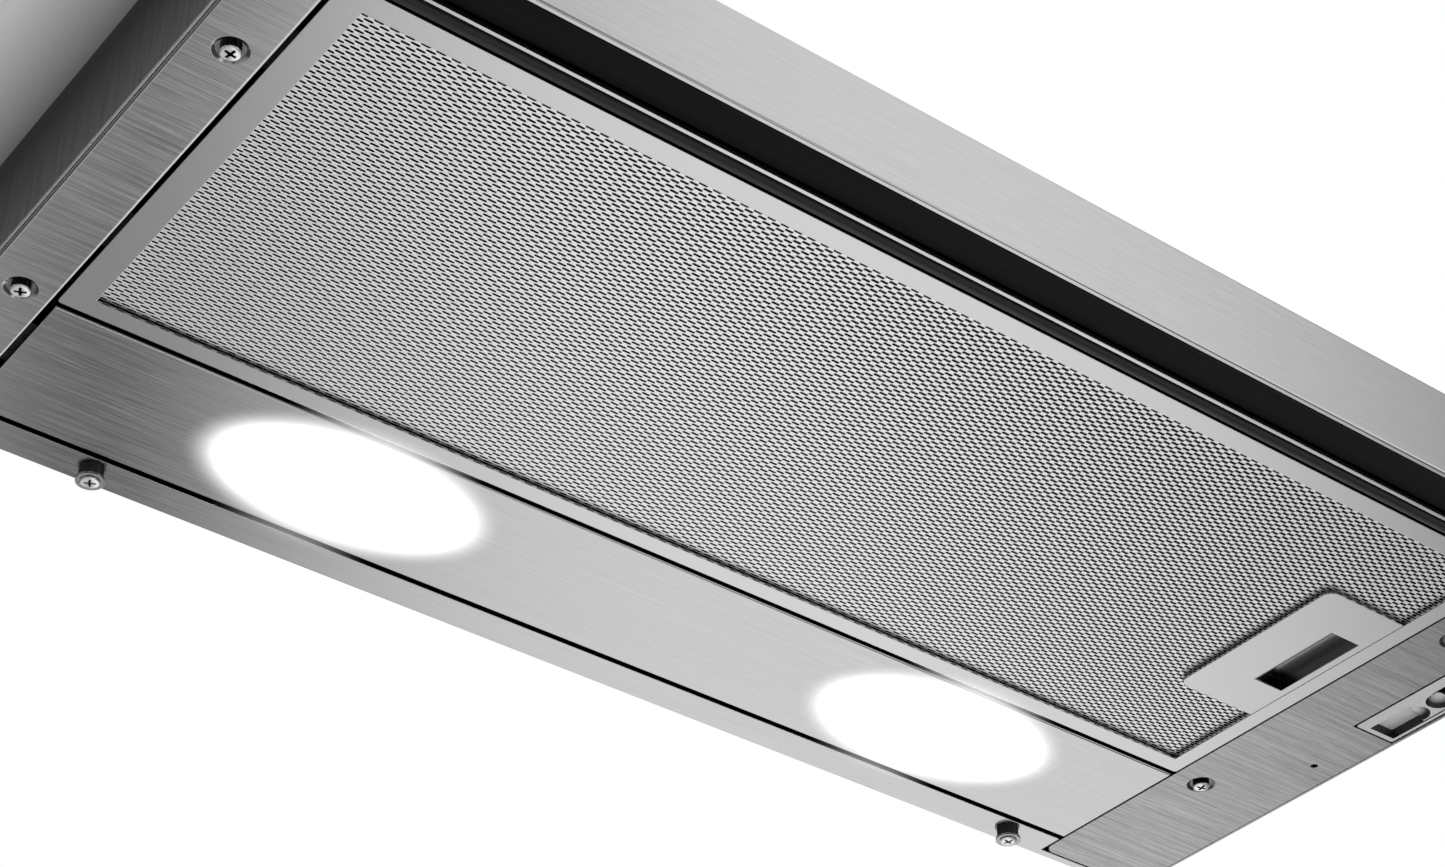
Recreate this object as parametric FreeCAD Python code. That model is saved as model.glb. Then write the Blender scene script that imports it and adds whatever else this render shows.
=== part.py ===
"""Slide-out range hood for a 600 mm wall cabinet.

The tray hangs under the cabinet, and the blower box and two side plates stand inside it. The model
is drawn from the rear lower edge of the tray: x runs along the width from the middle, y from the wall
(0) towards the cook (negative), z from the underside plane (0) upwards. Each sub-part is moved at
export so that the origin lies on the cabinet face, in the middle of the four fixing holes. All sizes
are millimetres.
"""
import FreeCAD, Part
import math
import os

V = FreeCAD.Vector

# ---- overall sizes
width = 598.0
depth = 298.5
tray_height = 45.4
fascia_height = 40.1
sheet = 1.0                      # steel sheet of the tray, its panels and the blower box
seat_gap = 0.3                   # between a moving piece and what guides it

# ---- fixing to the cabinet
fix_from_side = 19.0
fix_from_front = 58.5
fix_from_wall = 60.0
fix_hole_r = 2.75

# ---- underside panels
wall_gap = 0.3                   # side wall to side panel
left_panel_width = 25.2
right_panel_width = 54.2
panel_flange = 22.0              # height of the folded edge beside the filter
front_zone = 19.0                # fascia's face to the front ends of the underside panels
panel_rear_y = -15.7
control_rear_y = -4.5
control_corner_r = 5.0
bend_r = 1.4

rear_flange = 15.2
lamp_rear_y = -17.7
lamp_border_rear = 7.8           # lamp panel's edges to the lens
lamp_border_front = 2.5
lamp_edge = 8.0                  # folded edges of the lamp panel
lamp_end_gap = 2.2

# ---- lamps
lamp_x = 139.5
lens_length = 100.0
lens_width = 56.0
lens_drop = 2.4
lens_gap = 0.3
lens_rim = 1.2
lens_wall = 1.6
holder_height = 20.0
notch_r = 4.5

# ---- grease filter
filter_side_gap = 1.2
bar_zone = 8.4                   # panels' front ends to the filter, room for the seal bar
filter_rear_gap = 2.8
filter_right_gap = 0.9
filter_height = 9.0
filter_wall = 1.0
rim_left = 10.4
rim_right = 7.6
rim_front = 8.4
rim_rear = 7.7
mesh_recess = 2.0
mesh_sheet = 0.6                 # expanded sheet of the face and back layers
mesh_core = 0.8
mesh_step = 1.3                  # from the lower side of one layer to that of the next
hinge_tab_from_front = 39.1
hinge_tab_from_rear = 41.2
hinge_tab_width = 20.0
hinge_tab_reach = 5.6
hinge_tab_z = 3.0

# ---- filter latch
handle_width = 40.4
handle_length = 82.0
handle_offset = -0.55            # handle's middle from the filter's middle
handle_corner_r = 4.5
handle_gap = 0.3
pocket_length = 42.0
pocket_width = 12.4
pocket_depth = 5.6
pocket_from_edge = 3.4
lip_r = 3.0
latch_travel = 6.0
tongue_width = 16.0
tongue_z = 3.0
tongue_thick = 1.2
tongue_engage = 3.2
spring_r = 1.5
spring_strip = 0.4
spring_width = 3.0
spring_turns = 4

# ---- switch panel
bezel_from_side = 12.0
bezel_width = 21.0
bezel_length = 100.0
bezel_from_panel = 21.8
bezel_gap = 0.9
bezel_border = 5.8
recess_width = 13.7
recess_depth = 4.2
recess_end_gap = 2.3
recess_light = 45.0
recess_bridge = 4.0
knob_length = 16.0
scoop_r = 7.5                    # ball that hollows the knob on each side of its fin
fin_half = 0.7
knob_face = 0.25
light_knob_back = 27.3           # bezel's rear end to the knobs
fan_knob_back = 63.3
light_travel = 8.0
fan_travel = 21.0
knob_side_gap = 0.35
stem_width = 4.0
stem_length = 6.0
switch_body_height = 13.0

# ---- screws
rear_panel_screw_y = -85.9
front_panel_screw = 53.9         # from the panels' front ends
bracket_width = 22.0
bracket_foot = 8.0               # from the screw to the foot's edge
bracket_sheet = 1.2
left_screw_from_side = 14.0
right_screw_from_filter = 14.9
head_r = 3.45
head_height = 2.5
shank_r = 1.9
dimple_r = 6.0
dimple_depth = 0.8
rear_screw_from_left = 55.5      # from the panels' edges beside the filter
rear_screw_from_right = 22.5
rear_screw_y = -6.0
spacer_r = 4.6
spacer_height = 2.7
washer_r = 5.35
washer_height = 0.9
rear_head_r = 3.65
pilot_from_side = 12.8
pilot_from_bezel = 32.5
pilot_r = 1.5

# ---- front rail and pull-out visor
rail_edge = 1.4
rail_height = 20.0
bar_width = 5.0
bar_height = 5.2
bar_drop = 0.5
runner_from_wall = 60.1
front_engagement = 60.0          # runner left in the rail when the visor is out
visor_sheet = 0.8
visor_deep = 168.5
visor_front_gap = 0.6
grip_recess = 2.5
grip_lip = 2.8                   # fascia's face to the lip of the dark sheet
fascia_hem = 2.0
fascia_return = 12.0
visor_z = 26.0
visor_flange = 11.0

# ---- slides
rail_web = 1.1
rail_depth = 9.0
slide_z = 24.0
slide_height = 14.0
slide_wall = 1.0
runner_gap = 0.4
glide_length = 10.0
stop_length = 12.0

# ---- blower box
box_inset = 49.0                 # tray's side to the box's side
box_front_y = -187.0
box_rear_y = -15.0
box_flange = 12.0
side_plate_from_side = 3.0
side_plate_foot = 11.0
side_plate_corner = 8.0
side_plate_hole_r = 3.0
side_plate_hole_inset = 14.0     # plate's front, rear and top to the centre of a hole
deck_opening_border = 10.0
deck_opening_lip = 7.0           # box's front to the opening
deck_opening_rear_y = -92.0

# ---- blower
wheel_r = 45.0
wheel_ring_width = 8.5
scroll_room = 16.0               # volute's radius beyond the wheel's
scroll_shift = 6.0               # volute centre behind the axle
scroll_from_box = 4.0
scroll_over_deck = 5.6
scroll_under_top = 7.0
scroll_width = 120.0
scroll_wall = 1.4
outlet_depth = 75.0
inlet_gap = 1.5
inlet_lip = 5.0
wheel_width = 96.0
wheel_ring = 2.0
blade_count = 30
blade_thick = 1.0
blade_angle = 32.0
hub_r = 9.0
hub_length = 26.0
axle_r = 4.0
axle_fit = 0.05
bearing_r = 8.0
bearing_length = 9.0
motor_r = 30.0
motor_length = 58.0
motor_to_scroll = 6.0
motor_ring = 4.0

# ---- duct collar and backdraught flaps
collar_r = 59.5
collar_wall = 2.0
collar_height = 26.0
collar_rim = 8.5
collar_flange = 2.0
damper_z = 10.0                  # flap axis above the blower box
damper_ledge = 2.5
damper_pin_r = 1.5
damper_barrel_r = 2.7
damper_thick = 1.2
damper_gap = 0.4
barrel_count = 6

# ---- worked-out places
half = width / 2
inner = half - sheet
left_edge = -inner + wall_gap + left_panel_width          # folded edge beside the filter
right_edge = inner - wall_gap - right_panel_width
panel_front_y = -depth + front_zone
lamp_y = lamp_rear_y - lamp_border_rear - lens_width / 2
lamp_front_y = lamp_y - lens_width / 2 - lamp_border_front
filter_front_y = panel_front_y + bar_zone
filter_rear_y = lamp_front_y - filter_rear_gap
filter_left = left_edge + filter_side_gap
filter_right = right_edge - filter_right_gap
open_left = filter_left + rim_left
open_right = filter_right - rim_right
open_front = filter_front_y + rim_front
open_rear = filter_rear_y - rim_rear
hinge_tab_ys = (filter_front_y + hinge_tab_from_front, filter_rear_y - hinge_tab_from_rear)
handle_centre_y = (filter_front_y + filter_rear_y) / 2 + handle_offset
handle_right = open_right - handle_gap
handle_left = handle_right - handle_width
pocket_right = handle_right - pocket_from_edge
pocket_left = pocket_right - pocket_width
bowl_wall = 1.0
bowl_top = pocket_depth + bowl_wall
bezel_x = inner - bezel_from_side
bezel_front_y = panel_front_y + bezel_from_panel
bezel_rear_y = bezel_front_y + bezel_length
recess_rear_y = bezel_rear_y - recess_end_gap
recess_2_y = recess_rear_y - recess_light - recess_bridge
light_knob_y = bezel_rear_y - light_knob_back
fan_knob_y = bezel_rear_y - fan_knob_back
pilot_x = inner - pilot_from_side
pilot_y = bezel_rear_y + pilot_from_bezel
recess_x0 = bezel_x - bezel_width / 2 + bezel_border
recess_x1 = recess_x0 + recess_width
stem_x = (recess_x0 + recess_x1) / 2
panel_screw_y = (rear_panel_screw_y, panel_front_y + front_panel_screw)
left_screw_x = -inner + left_screw_from_side
right_screw_x = right_edge + right_screw_from_filter
rear_screw_x = (left_edge + rear_screw_from_left, right_edge - rear_screw_from_right)
screw_xy = [(x, y) for x in (left_screw_x, right_screw_x) for y in panel_screw_y]
fascia_back_y = -depth + sheet
grip_lip_y = -depth + grip_lip
riser_y = panel_front_y - visor_front_gap
visor_reach_y = -depth + visor_deep
runner_length = -runner_from_wall - riser_y
visor_travel = runner_length - front_engagement
visor_half = inner - rail_depth - 4.6 - visor_sheet
fix_x = width - 2 * fix_from_side
fix_y = depth - fix_from_front - fix_from_wall
fix_centre_y = -fix_from_wall - fix_y / 2
box_width = width - 2 * box_inset
collar_y = (box_front_y + box_rear_y) / 2
wheel_inner_r = wheel_r - wheel_ring_width
inlet_r = wheel_inner_r + inlet_gap
scroll_r = wheel_r + scroll_room
scroll_y = box_front_y + scroll_from_box + scroll_r
scroll_rear_y = scroll_y + scroll_r
half_scroll = scroll_width / 2
axle_y = scroll_y - scroll_shift
axle_z = tray_height + scroll_over_deck + scroll_r
box_top = axle_z + scroll_r + scroll_under_top
collar_flange_r = collar_r + collar_rim
damper_axis_z = box_top + damper_z
duct_r = collar_r - collar_wall


# ---- drawing helpers
def box(x0, x1, y0, y1, z0, z1):
    """A block between two corners."""
    return Part.makeBox(x1 - x0, y1 - y0, z1 - z0, V(x0, y0, z0))


def rod(r, start, axis, length):
    """A cylinder from a point along an axis."""
    return Part.makeCylinder(r, length, V(*start), V(*axis))


def tube(r, r_in, start, axis, length):
    """A round tube."""
    return rod(r, start, axis, length).cut(rod(r_in, start, axis, length))


def rounded_plate(x0, x1, y0, y1, z0, z1, radii):
    """A plate whose corners, from front left anticlockwise seen from above, have the given radii."""
    corners = [V(x0, y0), V(x1, y0), V(x1, y1), V(x0, y1)]
    inward = [V(1, 1), V(-1, 1), V(-1, -1), V(1, -1)]
    edges = []
    points = []
    for corner, way, r, first_x in zip(corners, inward, radii, (False, True, False, True)):
        along_x = corner + V(way.x * r, 0)
        along_y = corner + V(0, way.y * r)
        points.append((along_x, along_y) if first_x else (along_y, along_x))
        if r > 0:
            middle = corner + V(way.x, way.y) * (r * (1 - math.sqrt(0.5)))
            edges.append(Part.Arc(points[-1][0], middle, points[-1][1]).toShape())
    for i in range(4):
        edges.append(Part.makeLine(points[i][1], points[(i + 1) % 4][0]))
    face = Part.Face(Part.Wire(Part.sortEdges(edges)[0]))
    return face.extrude(V(0, 0, z1 - z0)).translated(V(0, 0, z0))


def profile(points, along, length):
    """A closed outline pushed along a direction."""
    wire = Part.makePolygon([V(*p) for p in points + points[:1]])
    return Part.Face(wire).extrude(V(*along) * length)


def soften(shape, r, axis, near):
    """Rounds the straight edges that run along an axis through the given points."""
    picked = []
    for edge in shape.Edges:
        if edge.Length < 5 or not isinstance(edge.Curve, Part.Line):
            continue
        if abs(edge.Curve.Direction.dot(V(*axis))) < 0.999:
            continue
        middle = edge.CenterOfMass
        for point in near:
            offset = middle - V(*point)
            across = offset - V(*axis) * offset.dot(V(*axis))
            if across.Length < 0.05:
                picked.append(edge)
    return shape.makeFillet(r, picked)


def fuse(shapes):
    """One solid from pieces that touch."""
    return shapes[0].multiFuse(shapes[1:]).removeSplitter()


def lens_outline(grow, z0, z1):
    """An oblong with elliptical outline, around a lamp centre at the origin."""
    curve = Part.Ellipse(V(0, 0, z0), lens_length / 2 + grow, lens_width / 2 + grow)
    face = Part.Face(Part.Wire(curve.toShape()))
    return face.extrude(V(0, 0, z1 - z0))


# ---- tray
def side_wall(side):
    """Sheet side of the tray, from the visor's return to the wall."""
    x = side * (half - sheet / 2)
    front = -depth + fascia_return + seat_gap
    wall = box(x - sheet / 2, x + sheet / 2, front, 0, 0, tray_height)
    return wall


def rear_wall():
    """Rear sheet with the narrow flange at the underside."""
    wall = box(-inner, inner, -sheet, 0, 0, tray_height)
    flange = box(-inner, inner, -rear_flange, -sheet, 0, sheet)
    upturn = box(-inner, inner, -rear_flange, -rear_flange + sheet, sheet, lamp_edge)
    control_room = box(right_edge - 1, inner, -rear_flange, control_rear_y + 1, -1, lamp_edge)
    shape = fuse([wall, flange, upturn]).cut(control_room)
    for x in rear_screw_x:
        shape = shape.cut(rod(shank_r + 0.1, (x, rear_screw_y, -1), (0, 0, 1), 3))
    return shape


def top_deck():
    """Sheet that lies against the cabinet, open under the blower box."""
    z = tray_height - sheet
    front = -depth + fascia_return + seat_gap
    deck = box(-inner, inner, front, -sheet, z, tray_height)
    turned = box(-inner, inner, front, front + sheet, fascia_height + 0.5, z)
    deck = deck.fuse(turned).removeSplitter()
    x = box_width / 2 - deck_opening_border
    opening_y = (box_front_y + deck_opening_lip, deck_opening_rear_y)
    deck = deck.cut(box(-x, x, *opening_y, z - 1, tray_height + 1))
    for sx in (-1, 1):
        for sy in (-1, 1):
            at = (sx * fix_x / 2, fix_centre_y + sy * fix_y / 2, z - 1)
            deck = deck.cut(rod(fix_hole_r, at, (0, 0, 1), 4))
    return deck


def dished(panel, x, y):
    """Presses a shallow dish with a screw hole into an underside panel."""
    back = rod(dimple_r + sheet, (x, y, 0), (0, 0, 1), sheet + dimple_depth)
    cone = Part.makeCone(dimple_r, dimple_r - 1.2, dimple_depth, V(x, y, 0), V(0, 0, 1))
    hole = rod(shank_r + 0.1, (x, y, -1), (0, 0, 1), 5)
    return panel.fuse(back).cut(cone).cut(hole)


def left_panel():
    """Narrow panel beside the filter, with the slots that the filter hangs in."""
    x0 = -inner + wall_gap
    plate = box(x0, left_edge, panel_front_y, panel_rear_y, 0, sheet)
    flange = box(left_edge - sheet, left_edge, panel_front_y, panel_rear_y, sheet, panel_flange)
    outer = box(x0, x0 + sheet, panel_front_y, panel_rear_y, sheet, 6)
    shape = fuse([plate, flange, outer])
    shape = soften(shape, bend_r, (0, 1, 0), [(left_edge, 0, 0), (x0, 0, 0)])
    for y in hinge_tab_ys:
        w = hinge_tab_width / 2 + 1
        z0 = hinge_tab_z - 0.1
        shape = shape.cut(box(left_edge - 3, left_edge + 1, y - w, y + w, z0, z0 + 6.2))
    for y in panel_screw_y:
        shape = shape.cut(bracket_notch(x0, y))
        shape = dished(shape, left_screw_x, y)
    return shape


def bracket_notch(x, y):
    """Room for a bracket's foot through the outer fold of a side panel."""
    w = bracket_width / 2 + 1
    return box(x - 1, x + 2, y - w, y + w, sheet, 8)


def control_panel():
    """Wider panel on the right, with the switch opening and the latch slot."""
    x1 = inner - wall_gap
    r = control_corner_r
    plate = rounded_plate(right_edge, x1, panel_front_y, control_rear_y, 0, sheet, (0, 0, 0, r))
    y1 = panel_rear_y - 1
    flange = box(right_edge, right_edge + sheet, panel_front_y, y1, sheet, panel_flange)
    outer = box(x1 - sheet, x1, panel_front_y, control_rear_y - 8, sheet, 6)
    shape = fuse([plate, flange, outer])
    hole = bezel_width / 2 + bezel_gap
    y_front = bezel_front_y - bezel_gap
    y_rear = bezel_rear_y + bezel_gap
    shape = shape.cut(box(bezel_x - hole, bezel_x + hole, y_front, y_rear, -1, 2))
    w = tongue_width / 2 + 1
    slot = (tongue_z - seat_gap, tongue_z + tongue_thick + seat_gap)
    slot_y = (handle_centre_y - w, handle_centre_y + w)
    shape = shape.cut(box(right_edge - 1, right_edge + 2, *slot_y, *slot))
    shape = shape.cut(rod(pilot_r, (pilot_x, pilot_y, -1), (0, 0, 1), 3))
    for y in panel_screw_y:
        shape = dished(shape, right_screw_x, y)
    return shape


def lamp_panel():
    """Rear panel that carries both lamps."""
    x0 = left_edge + lamp_end_gap
    x1 = right_edge - lamp_end_gap + 1.2
    y0 = lamp_front_y
    y1 = lamp_rear_y
    plate = box(x0, x1, y0, y1, 0, sheet)
    front = box(x0, x1, y0, y0 + sheet, sheet, lamp_edge)
    rear = box(x0, x1, y1 - sheet, y1, sheet, lamp_edge)
    middle = (y0 + y1) / 2
    end_left = box(x0, x0 + sheet, y0 + 5, y1 - 5, sheet, lamp_edge)
    end_right = box(x1 - sheet, x1, y0 + 5, y1 - 5, sheet, lamp_edge)
    tab_left = box(left_edge, x0, middle - 12, middle + 12, lamp_edge - sheet, lamp_edge)
    tab_right = box(x1, right_edge, middle - 12, middle + 12, lamp_edge - sheet, lamp_edge)
    shape = fuse([plate, front, rear, end_left, end_right, tab_left, tab_right])
    shape = soften(shape, 0.7, (1, 0, 0), [(0, y0, 0), (0, y1, 0)])
    for side in (-1, 1):
        hole = lens_outline(lens_gap, -1, 2)
        shape = shape.cut(hole.translated(V(side * lamp_x, lamp_y, 0)))
    return shape


def front_cross_rail():
    """Angle rail that closes the tray in front of the filter."""
    y0 = panel_front_y
    edge = box(left_edge, right_edge, y0, y0 + rail_edge, 0, rail_height)
    shelf_z = bar_height - bar_drop
    y1 = filter_front_y - 1.0
    shelf = box(left_edge, right_edge, y0 + rail_edge, y1, shelf_z, shelf_z + sheet)
    return fuse([edge, shelf])


def front_seal_bar():
    """Rubber bar with a rounded belly under the rail's shelf."""
    y0 = filter_front_y - 0.6 - bar_width
    y1 = y0 + bar_width
    x0 = left_edge + 0.5
    x1 = right_edge - 0.5
    bar = box(x0, x1, y0, y1, -bar_drop, bar_height - bar_drop)
    return soften(bar, 2.2, (1, 0, 0), [(0, y0, -bar_drop), (0, y1, -bar_drop)])


def panel_brackets():
    """Angles on the side walls that the panel screws bite into; the right ones step over the switches."""
    shapes = []
    t = bracket_sheet
    z0 = sheet + dimple_depth
    z1 = slide_z - 3
    w = bracket_width / 2
    for x, y in screw_xy:
        ys = (y - w, y + w)
        if x < 0:
            foot = box(-inner, x + bracket_foot, *ys, z0, z0 + t)
            leg = box(-inner, -inner + t, *ys, z0 + t, z1)
            bracket = fuse([foot, leg])
        else:
            riser_x = x + bracket_foot
            foot = box(x - bracket_foot, riser_x, *ys, z0, z0 + t)
            riser = box(riser_x - t, riser_x, *ys, z0 + t, z1)
            arm = box(riser_x, inner, *ys, z1 - t, z1)
            leg = box(inner - t, inner, *ys, z1 - bracket_foot, z1 - t)
            bracket = fuse([foot, riser, arm, leg])
        shapes.append(bracket.cut(rod(shank_r + 0.02, (x, y, 0), (0, 0, 1), 8)))
    return Part.makeCompound(shapes)


def cross_recess(x, y, z, r):
    """Cross-shaped driver recess, cut upwards into a screw head."""
    arms = []
    for angle in (20, 110):
        arm = box(-r * 0.62, r * 0.62, -0.42, 0.42, 0, 1.5)
        arm.rotate(V(0, 0, 0), V(0, 0, 1), angle)
        arms.append(arm)
    return fuse(arms).translated(V(x, y, z))


def pan_screw(x, y, seat_z, r, height, length):
    """Screw with a domed head that hangs below its seat."""
    dome = (r * r + height * height) / (2 * height)
    ball = Part.makeSphere(dome, V(x, y, seat_z - height + dome))
    head = ball.common(rod(r, (x, y, seat_z - height), (0, 0, 1), height))
    shank = rod(shank_r, (x, y, seat_z), (0, 0, 1), length)
    return head.fuse(shank).cut(cross_recess(x, y, seat_z - height - 0.1, r))


def panel_screws():
    """The four screws of the side panels."""
    screws = []
    for x, y in screw_xy:
        screws.append(pan_screw(x, y, dimple_depth, head_r, head_height, 7.0))
    return Part.makeCompound(screws)


def rear_spacers():
    """Dark bushes that hang under the rear flange."""
    shapes = []
    for x in rear_screw_x:
        at = (x, rear_screw_y, -spacer_height)
        shapes.append(tube(spacer_r, shank_r + 0.05, at, (0, 0, 1), spacer_height))
    return Part.makeCompound(shapes)


def rear_washers():
    """Plain washers between bush and screw head."""
    shapes = []
    for x in rear_screw_x:
        at = (x, rear_screw_y, -spacer_height - washer_height)
        shapes.append(tube(washer_r, shank_r + 0.05, at, (0, 0, 1), washer_height))
    return Part.makeCompound(shapes)


def rear_screws():
    """Screws through the bushes into the rear flange."""
    seat = -spacer_height - washer_height
    screws = []
    for x in rear_screw_x:
        screws.append(pan_screw(x, rear_screw_y, seat, rear_head_r, 2.0, 8.0))
    return Part.makeCompound(screws)


# ---- lamps
def lamp_lens(side):
    """Opal cover: a dished oblong that hangs a little below the panel, with a pry notch at its left."""
    rim = lens_outline(lens_rim, sheet, sheet + lens_wall)
    neck = lens_outline(0, 0, sheet)
    spread = lens_outline(0, 0, lens_drop)
    crown = spread.makeFillet(lens_drop * 0.95, [edge_at(spread, lens_drop)])
    crown = crown.mirror(V(0, 0, 0), V(0, 0, 1))
    hollow = lens_outline(-lens_wall, 0.6 - lens_drop + lens_wall, sheet + lens_wall + 1)
    shape = fuse([rim, neck, crown]).cut(hollow)
    notch = rod(notch_r, (-lens_length / 2 - 1, 0, -lens_drop - 1), (0, 0, 1), lens_drop + 1.4)
    return shape.cut(notch).translated(V(side * lamp_x, lamp_y, 0))


def edge_at(shape, z):
    """The closed edge of an upright oblong at a height."""
    for edge in shape.Edges:
        if abs(edge.CenterOfMass.z - z) < 0.01 and edge.isClosed():
            return edge


def lamp_holder(side):
    """Plastic cup above the lens."""
    z0 = sheet + lens_wall
    outer = lens_outline(lens_rim, z0, z0 + holder_height)
    inside = lens_outline(0, z0, z0 + holder_height - 1.6)
    return outer.cut(inside).translated(V(side * lamp_x, lamp_y, 0))


def led_boards():
    """One small board of light-emitting diodes in each cup."""
    shapes = []
    top = sheet + lens_wall + holder_height - 1.6
    for side in (-1, 1):
        x = side * lamp_x
        board = box(x - 34, x + 34, lamp_y - 9, lamp_y + 9, top - 1.6, top)
        chips = [board]
        for i in range(6):
            cx = x - 27.5 + 11 * i
            chips.append(box(cx - 1.8, cx + 1.8, lamp_y - 1.8, lamp_y + 1.8, top - 2.6, top - 1.6))
        shapes.append(fuse(chips))
    return Part.makeCompound(shapes)


def led_driver():
    """Supply box for the lamps, under the deck between them."""
    z1 = tray_height - sheet
    case = box(-45, 45, -78, -28, z1 - 22, z1)
    lug_left = box(-55, -45, -62, -44, z1 - 3, z1)
    lug_right = box(45, 55, -62, -44, z1 - 3, z1)
    case = soften(case, 2.0, (0, 0, 1), [(x, y, 0) for x in (-45, 45) for y in (-78, -28)])
    return fuse([case, lug_left, lug_right])


# ---- grease filter
def filter_frame():
    """Channel frame with a flat rim below and a narrow lip above."""
    h = filter_height
    w = filter_wall
    x = (filter_left, filter_right)
    y = (filter_front_y, filter_rear_y)
    block = box(*x, *y, 0, h)
    opening = box(open_left, open_right, open_front, open_rear, -1, h + 1)
    channel = box(x[0] + w, x[1] - w, y[0] + w, y[1] - w, w, h - w)
    lip = 6.0
    top = box(x[0] + lip, x[1] - lip, y[0] + lip, y[1] - lip, h - w - 1, h + 1)
    turned = box(open_left - w, open_right + w, open_front - w, open_rear + w, w, mesh_recess)
    shape = block.cut(channel.cut(turned)).cut(opening).cut(top)
    half_slot = tongue_width / 2 + 0.5
    notch_y = (handle_centre_y - half_slot, handle_centre_y + half_slot)
    notch_z = (tongue_z - seat_gap, tongue_z + tongue_thick + seat_gap)
    shape = shape.cut(box(x[1] - w - 1, x[1] + 1, *notch_y, *notch_z))
    outer = [(x[0], y[0], 0), (x[1], y[0], 0), (x[1], y[1], 0), (x[0], y[1], 0)]
    return soften_upright(shape, 1.5, outer)


def soften_upright(shape, r, corners):
    """Rounds the full-height outer corners of a frame."""
    picked = []
    for edge in shape.Edges:
        if not isinstance(edge.Curve, Part.Line) or abs(edge.Curve.Direction.z) < 0.999:
            continue
        for c in corners:
            if (edge.CenterOfMass - V(c[0], c[1], edge.CenterOfMass.z)).Length < 0.01:
                picked.append(edge)
    return shape.makeFillet(r, picked)


def mesh_layer(number, thickness):
    """One layer of the filter pack, cut away around the latch bowl and its travel."""
    grow = 4.0
    z0 = mesh_recess + number * mesh_step
    z1 = z0 + thickness
    layer = box(open_left - grow, open_right + grow, open_front - grow, open_rear + grow, z0, z1)
    x0 = pocket_left - bowl_wall - latch_travel - 1.5
    y = pocket_length / 2 + bowl_wall + 1.5
    room = box(x0, open_right + grow, handle_centre_y - y, handle_centre_y + y, z0 - 1, z1 + 1)
    return layer.cut(room)


def hinge_tabs():
    """Two tabs on the left of the filter that hang in the panel's slots."""
    shapes = []
    for y in hinge_tab_ys:
        w = hinge_tab_width / 2
        z0 = hinge_tab_z
        x = filter_left
        shapes.append(box(x - hinge_tab_reach, x, y - w, y + w, z0, z0 + 1.0))
    return Part.makeCompound(shapes)


def latch_handle():
    """Sliding plate with a finger pocket whose left lip curls up into the filter."""
    y0 = handle_centre_y - handle_length / 2
    y1 = handle_centre_y + handle_length / 2
    r = handle_corner_r
    plate = rounded_plate(handle_left, handle_right, y0, y1, 0, 1.0, (r, 0, 0, r))
    p0 = handle_centre_y - pocket_length / 2
    p1 = handle_centre_y + pocket_length / 2
    bowl_x0 = pocket_left - bowl_wall
    bowl = box(bowl_x0, pocket_right + bowl_wall, p0 - bowl_wall, p1 + bowl_wall, 0, bowl_top)
    pocket = box(pocket_left, pocket_right, p0, p1, -1, pocket_depth)
    lip_x = pocket_left - lip_r
    lip_cut = box(lip_x, pocket_left + 0.01, p0, p1, -1, lip_r)
    lip_round = rod(lip_r, (lip_x, p0, lip_r), (0, 1, 0), pocket_length)
    lip_hollow = rod(lip_r - bowl_wall, (lip_x, p0, lip_r), (0, 1, 0), pocket_length)
    lip_box = box(lip_x, pocket_left, p0, p1, 0, lip_r)
    lip = lip_round.cut(lip_hollow).common(lip_box)
    return plate.fuse(bowl).cut(pocket).cut(lip_cut).fuse(lip).removeSplitter()


def latch_tongue():
    """Steel tongue from the bowl through the frame into the control panel's slot."""
    x0 = pocket_right + bowl_wall
    x1 = right_edge + tongue_engage
    z0 = tongue_z
    z1 = tongue_z + tongue_thick
    w = tongue_width / 2
    points = [(x0, 0, z0), (x1 - 1.6, 0, z0), (x1, 0, z1 - 0.3), (x1, 0, z1), (x0, 0, z1)]
    tongue = profile(points, (0, 1, 0), tongue_width)
    return tongue.translated(V(0, handle_centre_y - w, 0))


def latch_springs():
    """Two small zigzag strip springs that draw the handle towards the control panel."""
    x0 = pocket_right + bowl_wall
    x1 = filter_right - filter_wall
    waves = 2 * spring_turns
    lower = []
    for i in range(waves + 1):
        z = spring_r if i % 2 else -spring_r
        lower.append((x0 + (x1 - x0) * i / waves, 0, z))
    upper = [(x, y, z + spring_strip) for x, y, z in reversed(lower)]
    shapes = []
    for side in (-1, 1):
        y = handle_centre_y + side * (pocket_length / 2 - 3.5)
        strip = profile(lower + upper, (0, 1, 0), spring_width)
        z = bowl_top - spring_r - spring_strip - 0.3
        shapes.append(strip.translated(V(0, y - spring_width / 2, z)))
    return Part.makeCompound(shapes)


# ---- switches
def switch_bezel():
    """Frame around the two slide switches, with sunk floors."""
    x0 = bezel_x - bezel_width / 2
    x1 = bezel_x + bezel_width / 2
    body = rounded_plate(x0, x1, bezel_front_y, bezel_rear_y, 0, sheet, (1, 1, 1, 1))
    tub = box(recess_x0 - 1, recess_x1 + 1, bezel_front_y + 1, bezel_rear_y - 1, sheet, recess_depth + 1)
    shape = fuse([body, tub])
    ends = recess_ends()
    for y_rear, y_front in ends:
        shape = shape.cut(box(recess_x0, recess_x1, y_front, y_rear, -1, recess_depth))
    w = stem_width / 2 + seat_gap
    for knob_y, travel in ((light_knob_y, light_travel), (fan_knob_y, fan_travel)):
        y1 = knob_y + stem_length / 2 + 0.5
        y0 = knob_y - travel - stem_length / 2 - 0.5
        slot = box(stem_x - w, stem_x + w, y0, y1, recess_depth - 1, recess_depth + 3)
        shape = shape.cut(slot)
    return shape


def recess_ends():
    """Rear and front end of the two recesses."""
    light = (recess_rear_y, recess_rear_y - recess_light)
    fan = (recess_2_y, bezel_front_y + recess_end_gap)
    return [light, fan]


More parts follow.
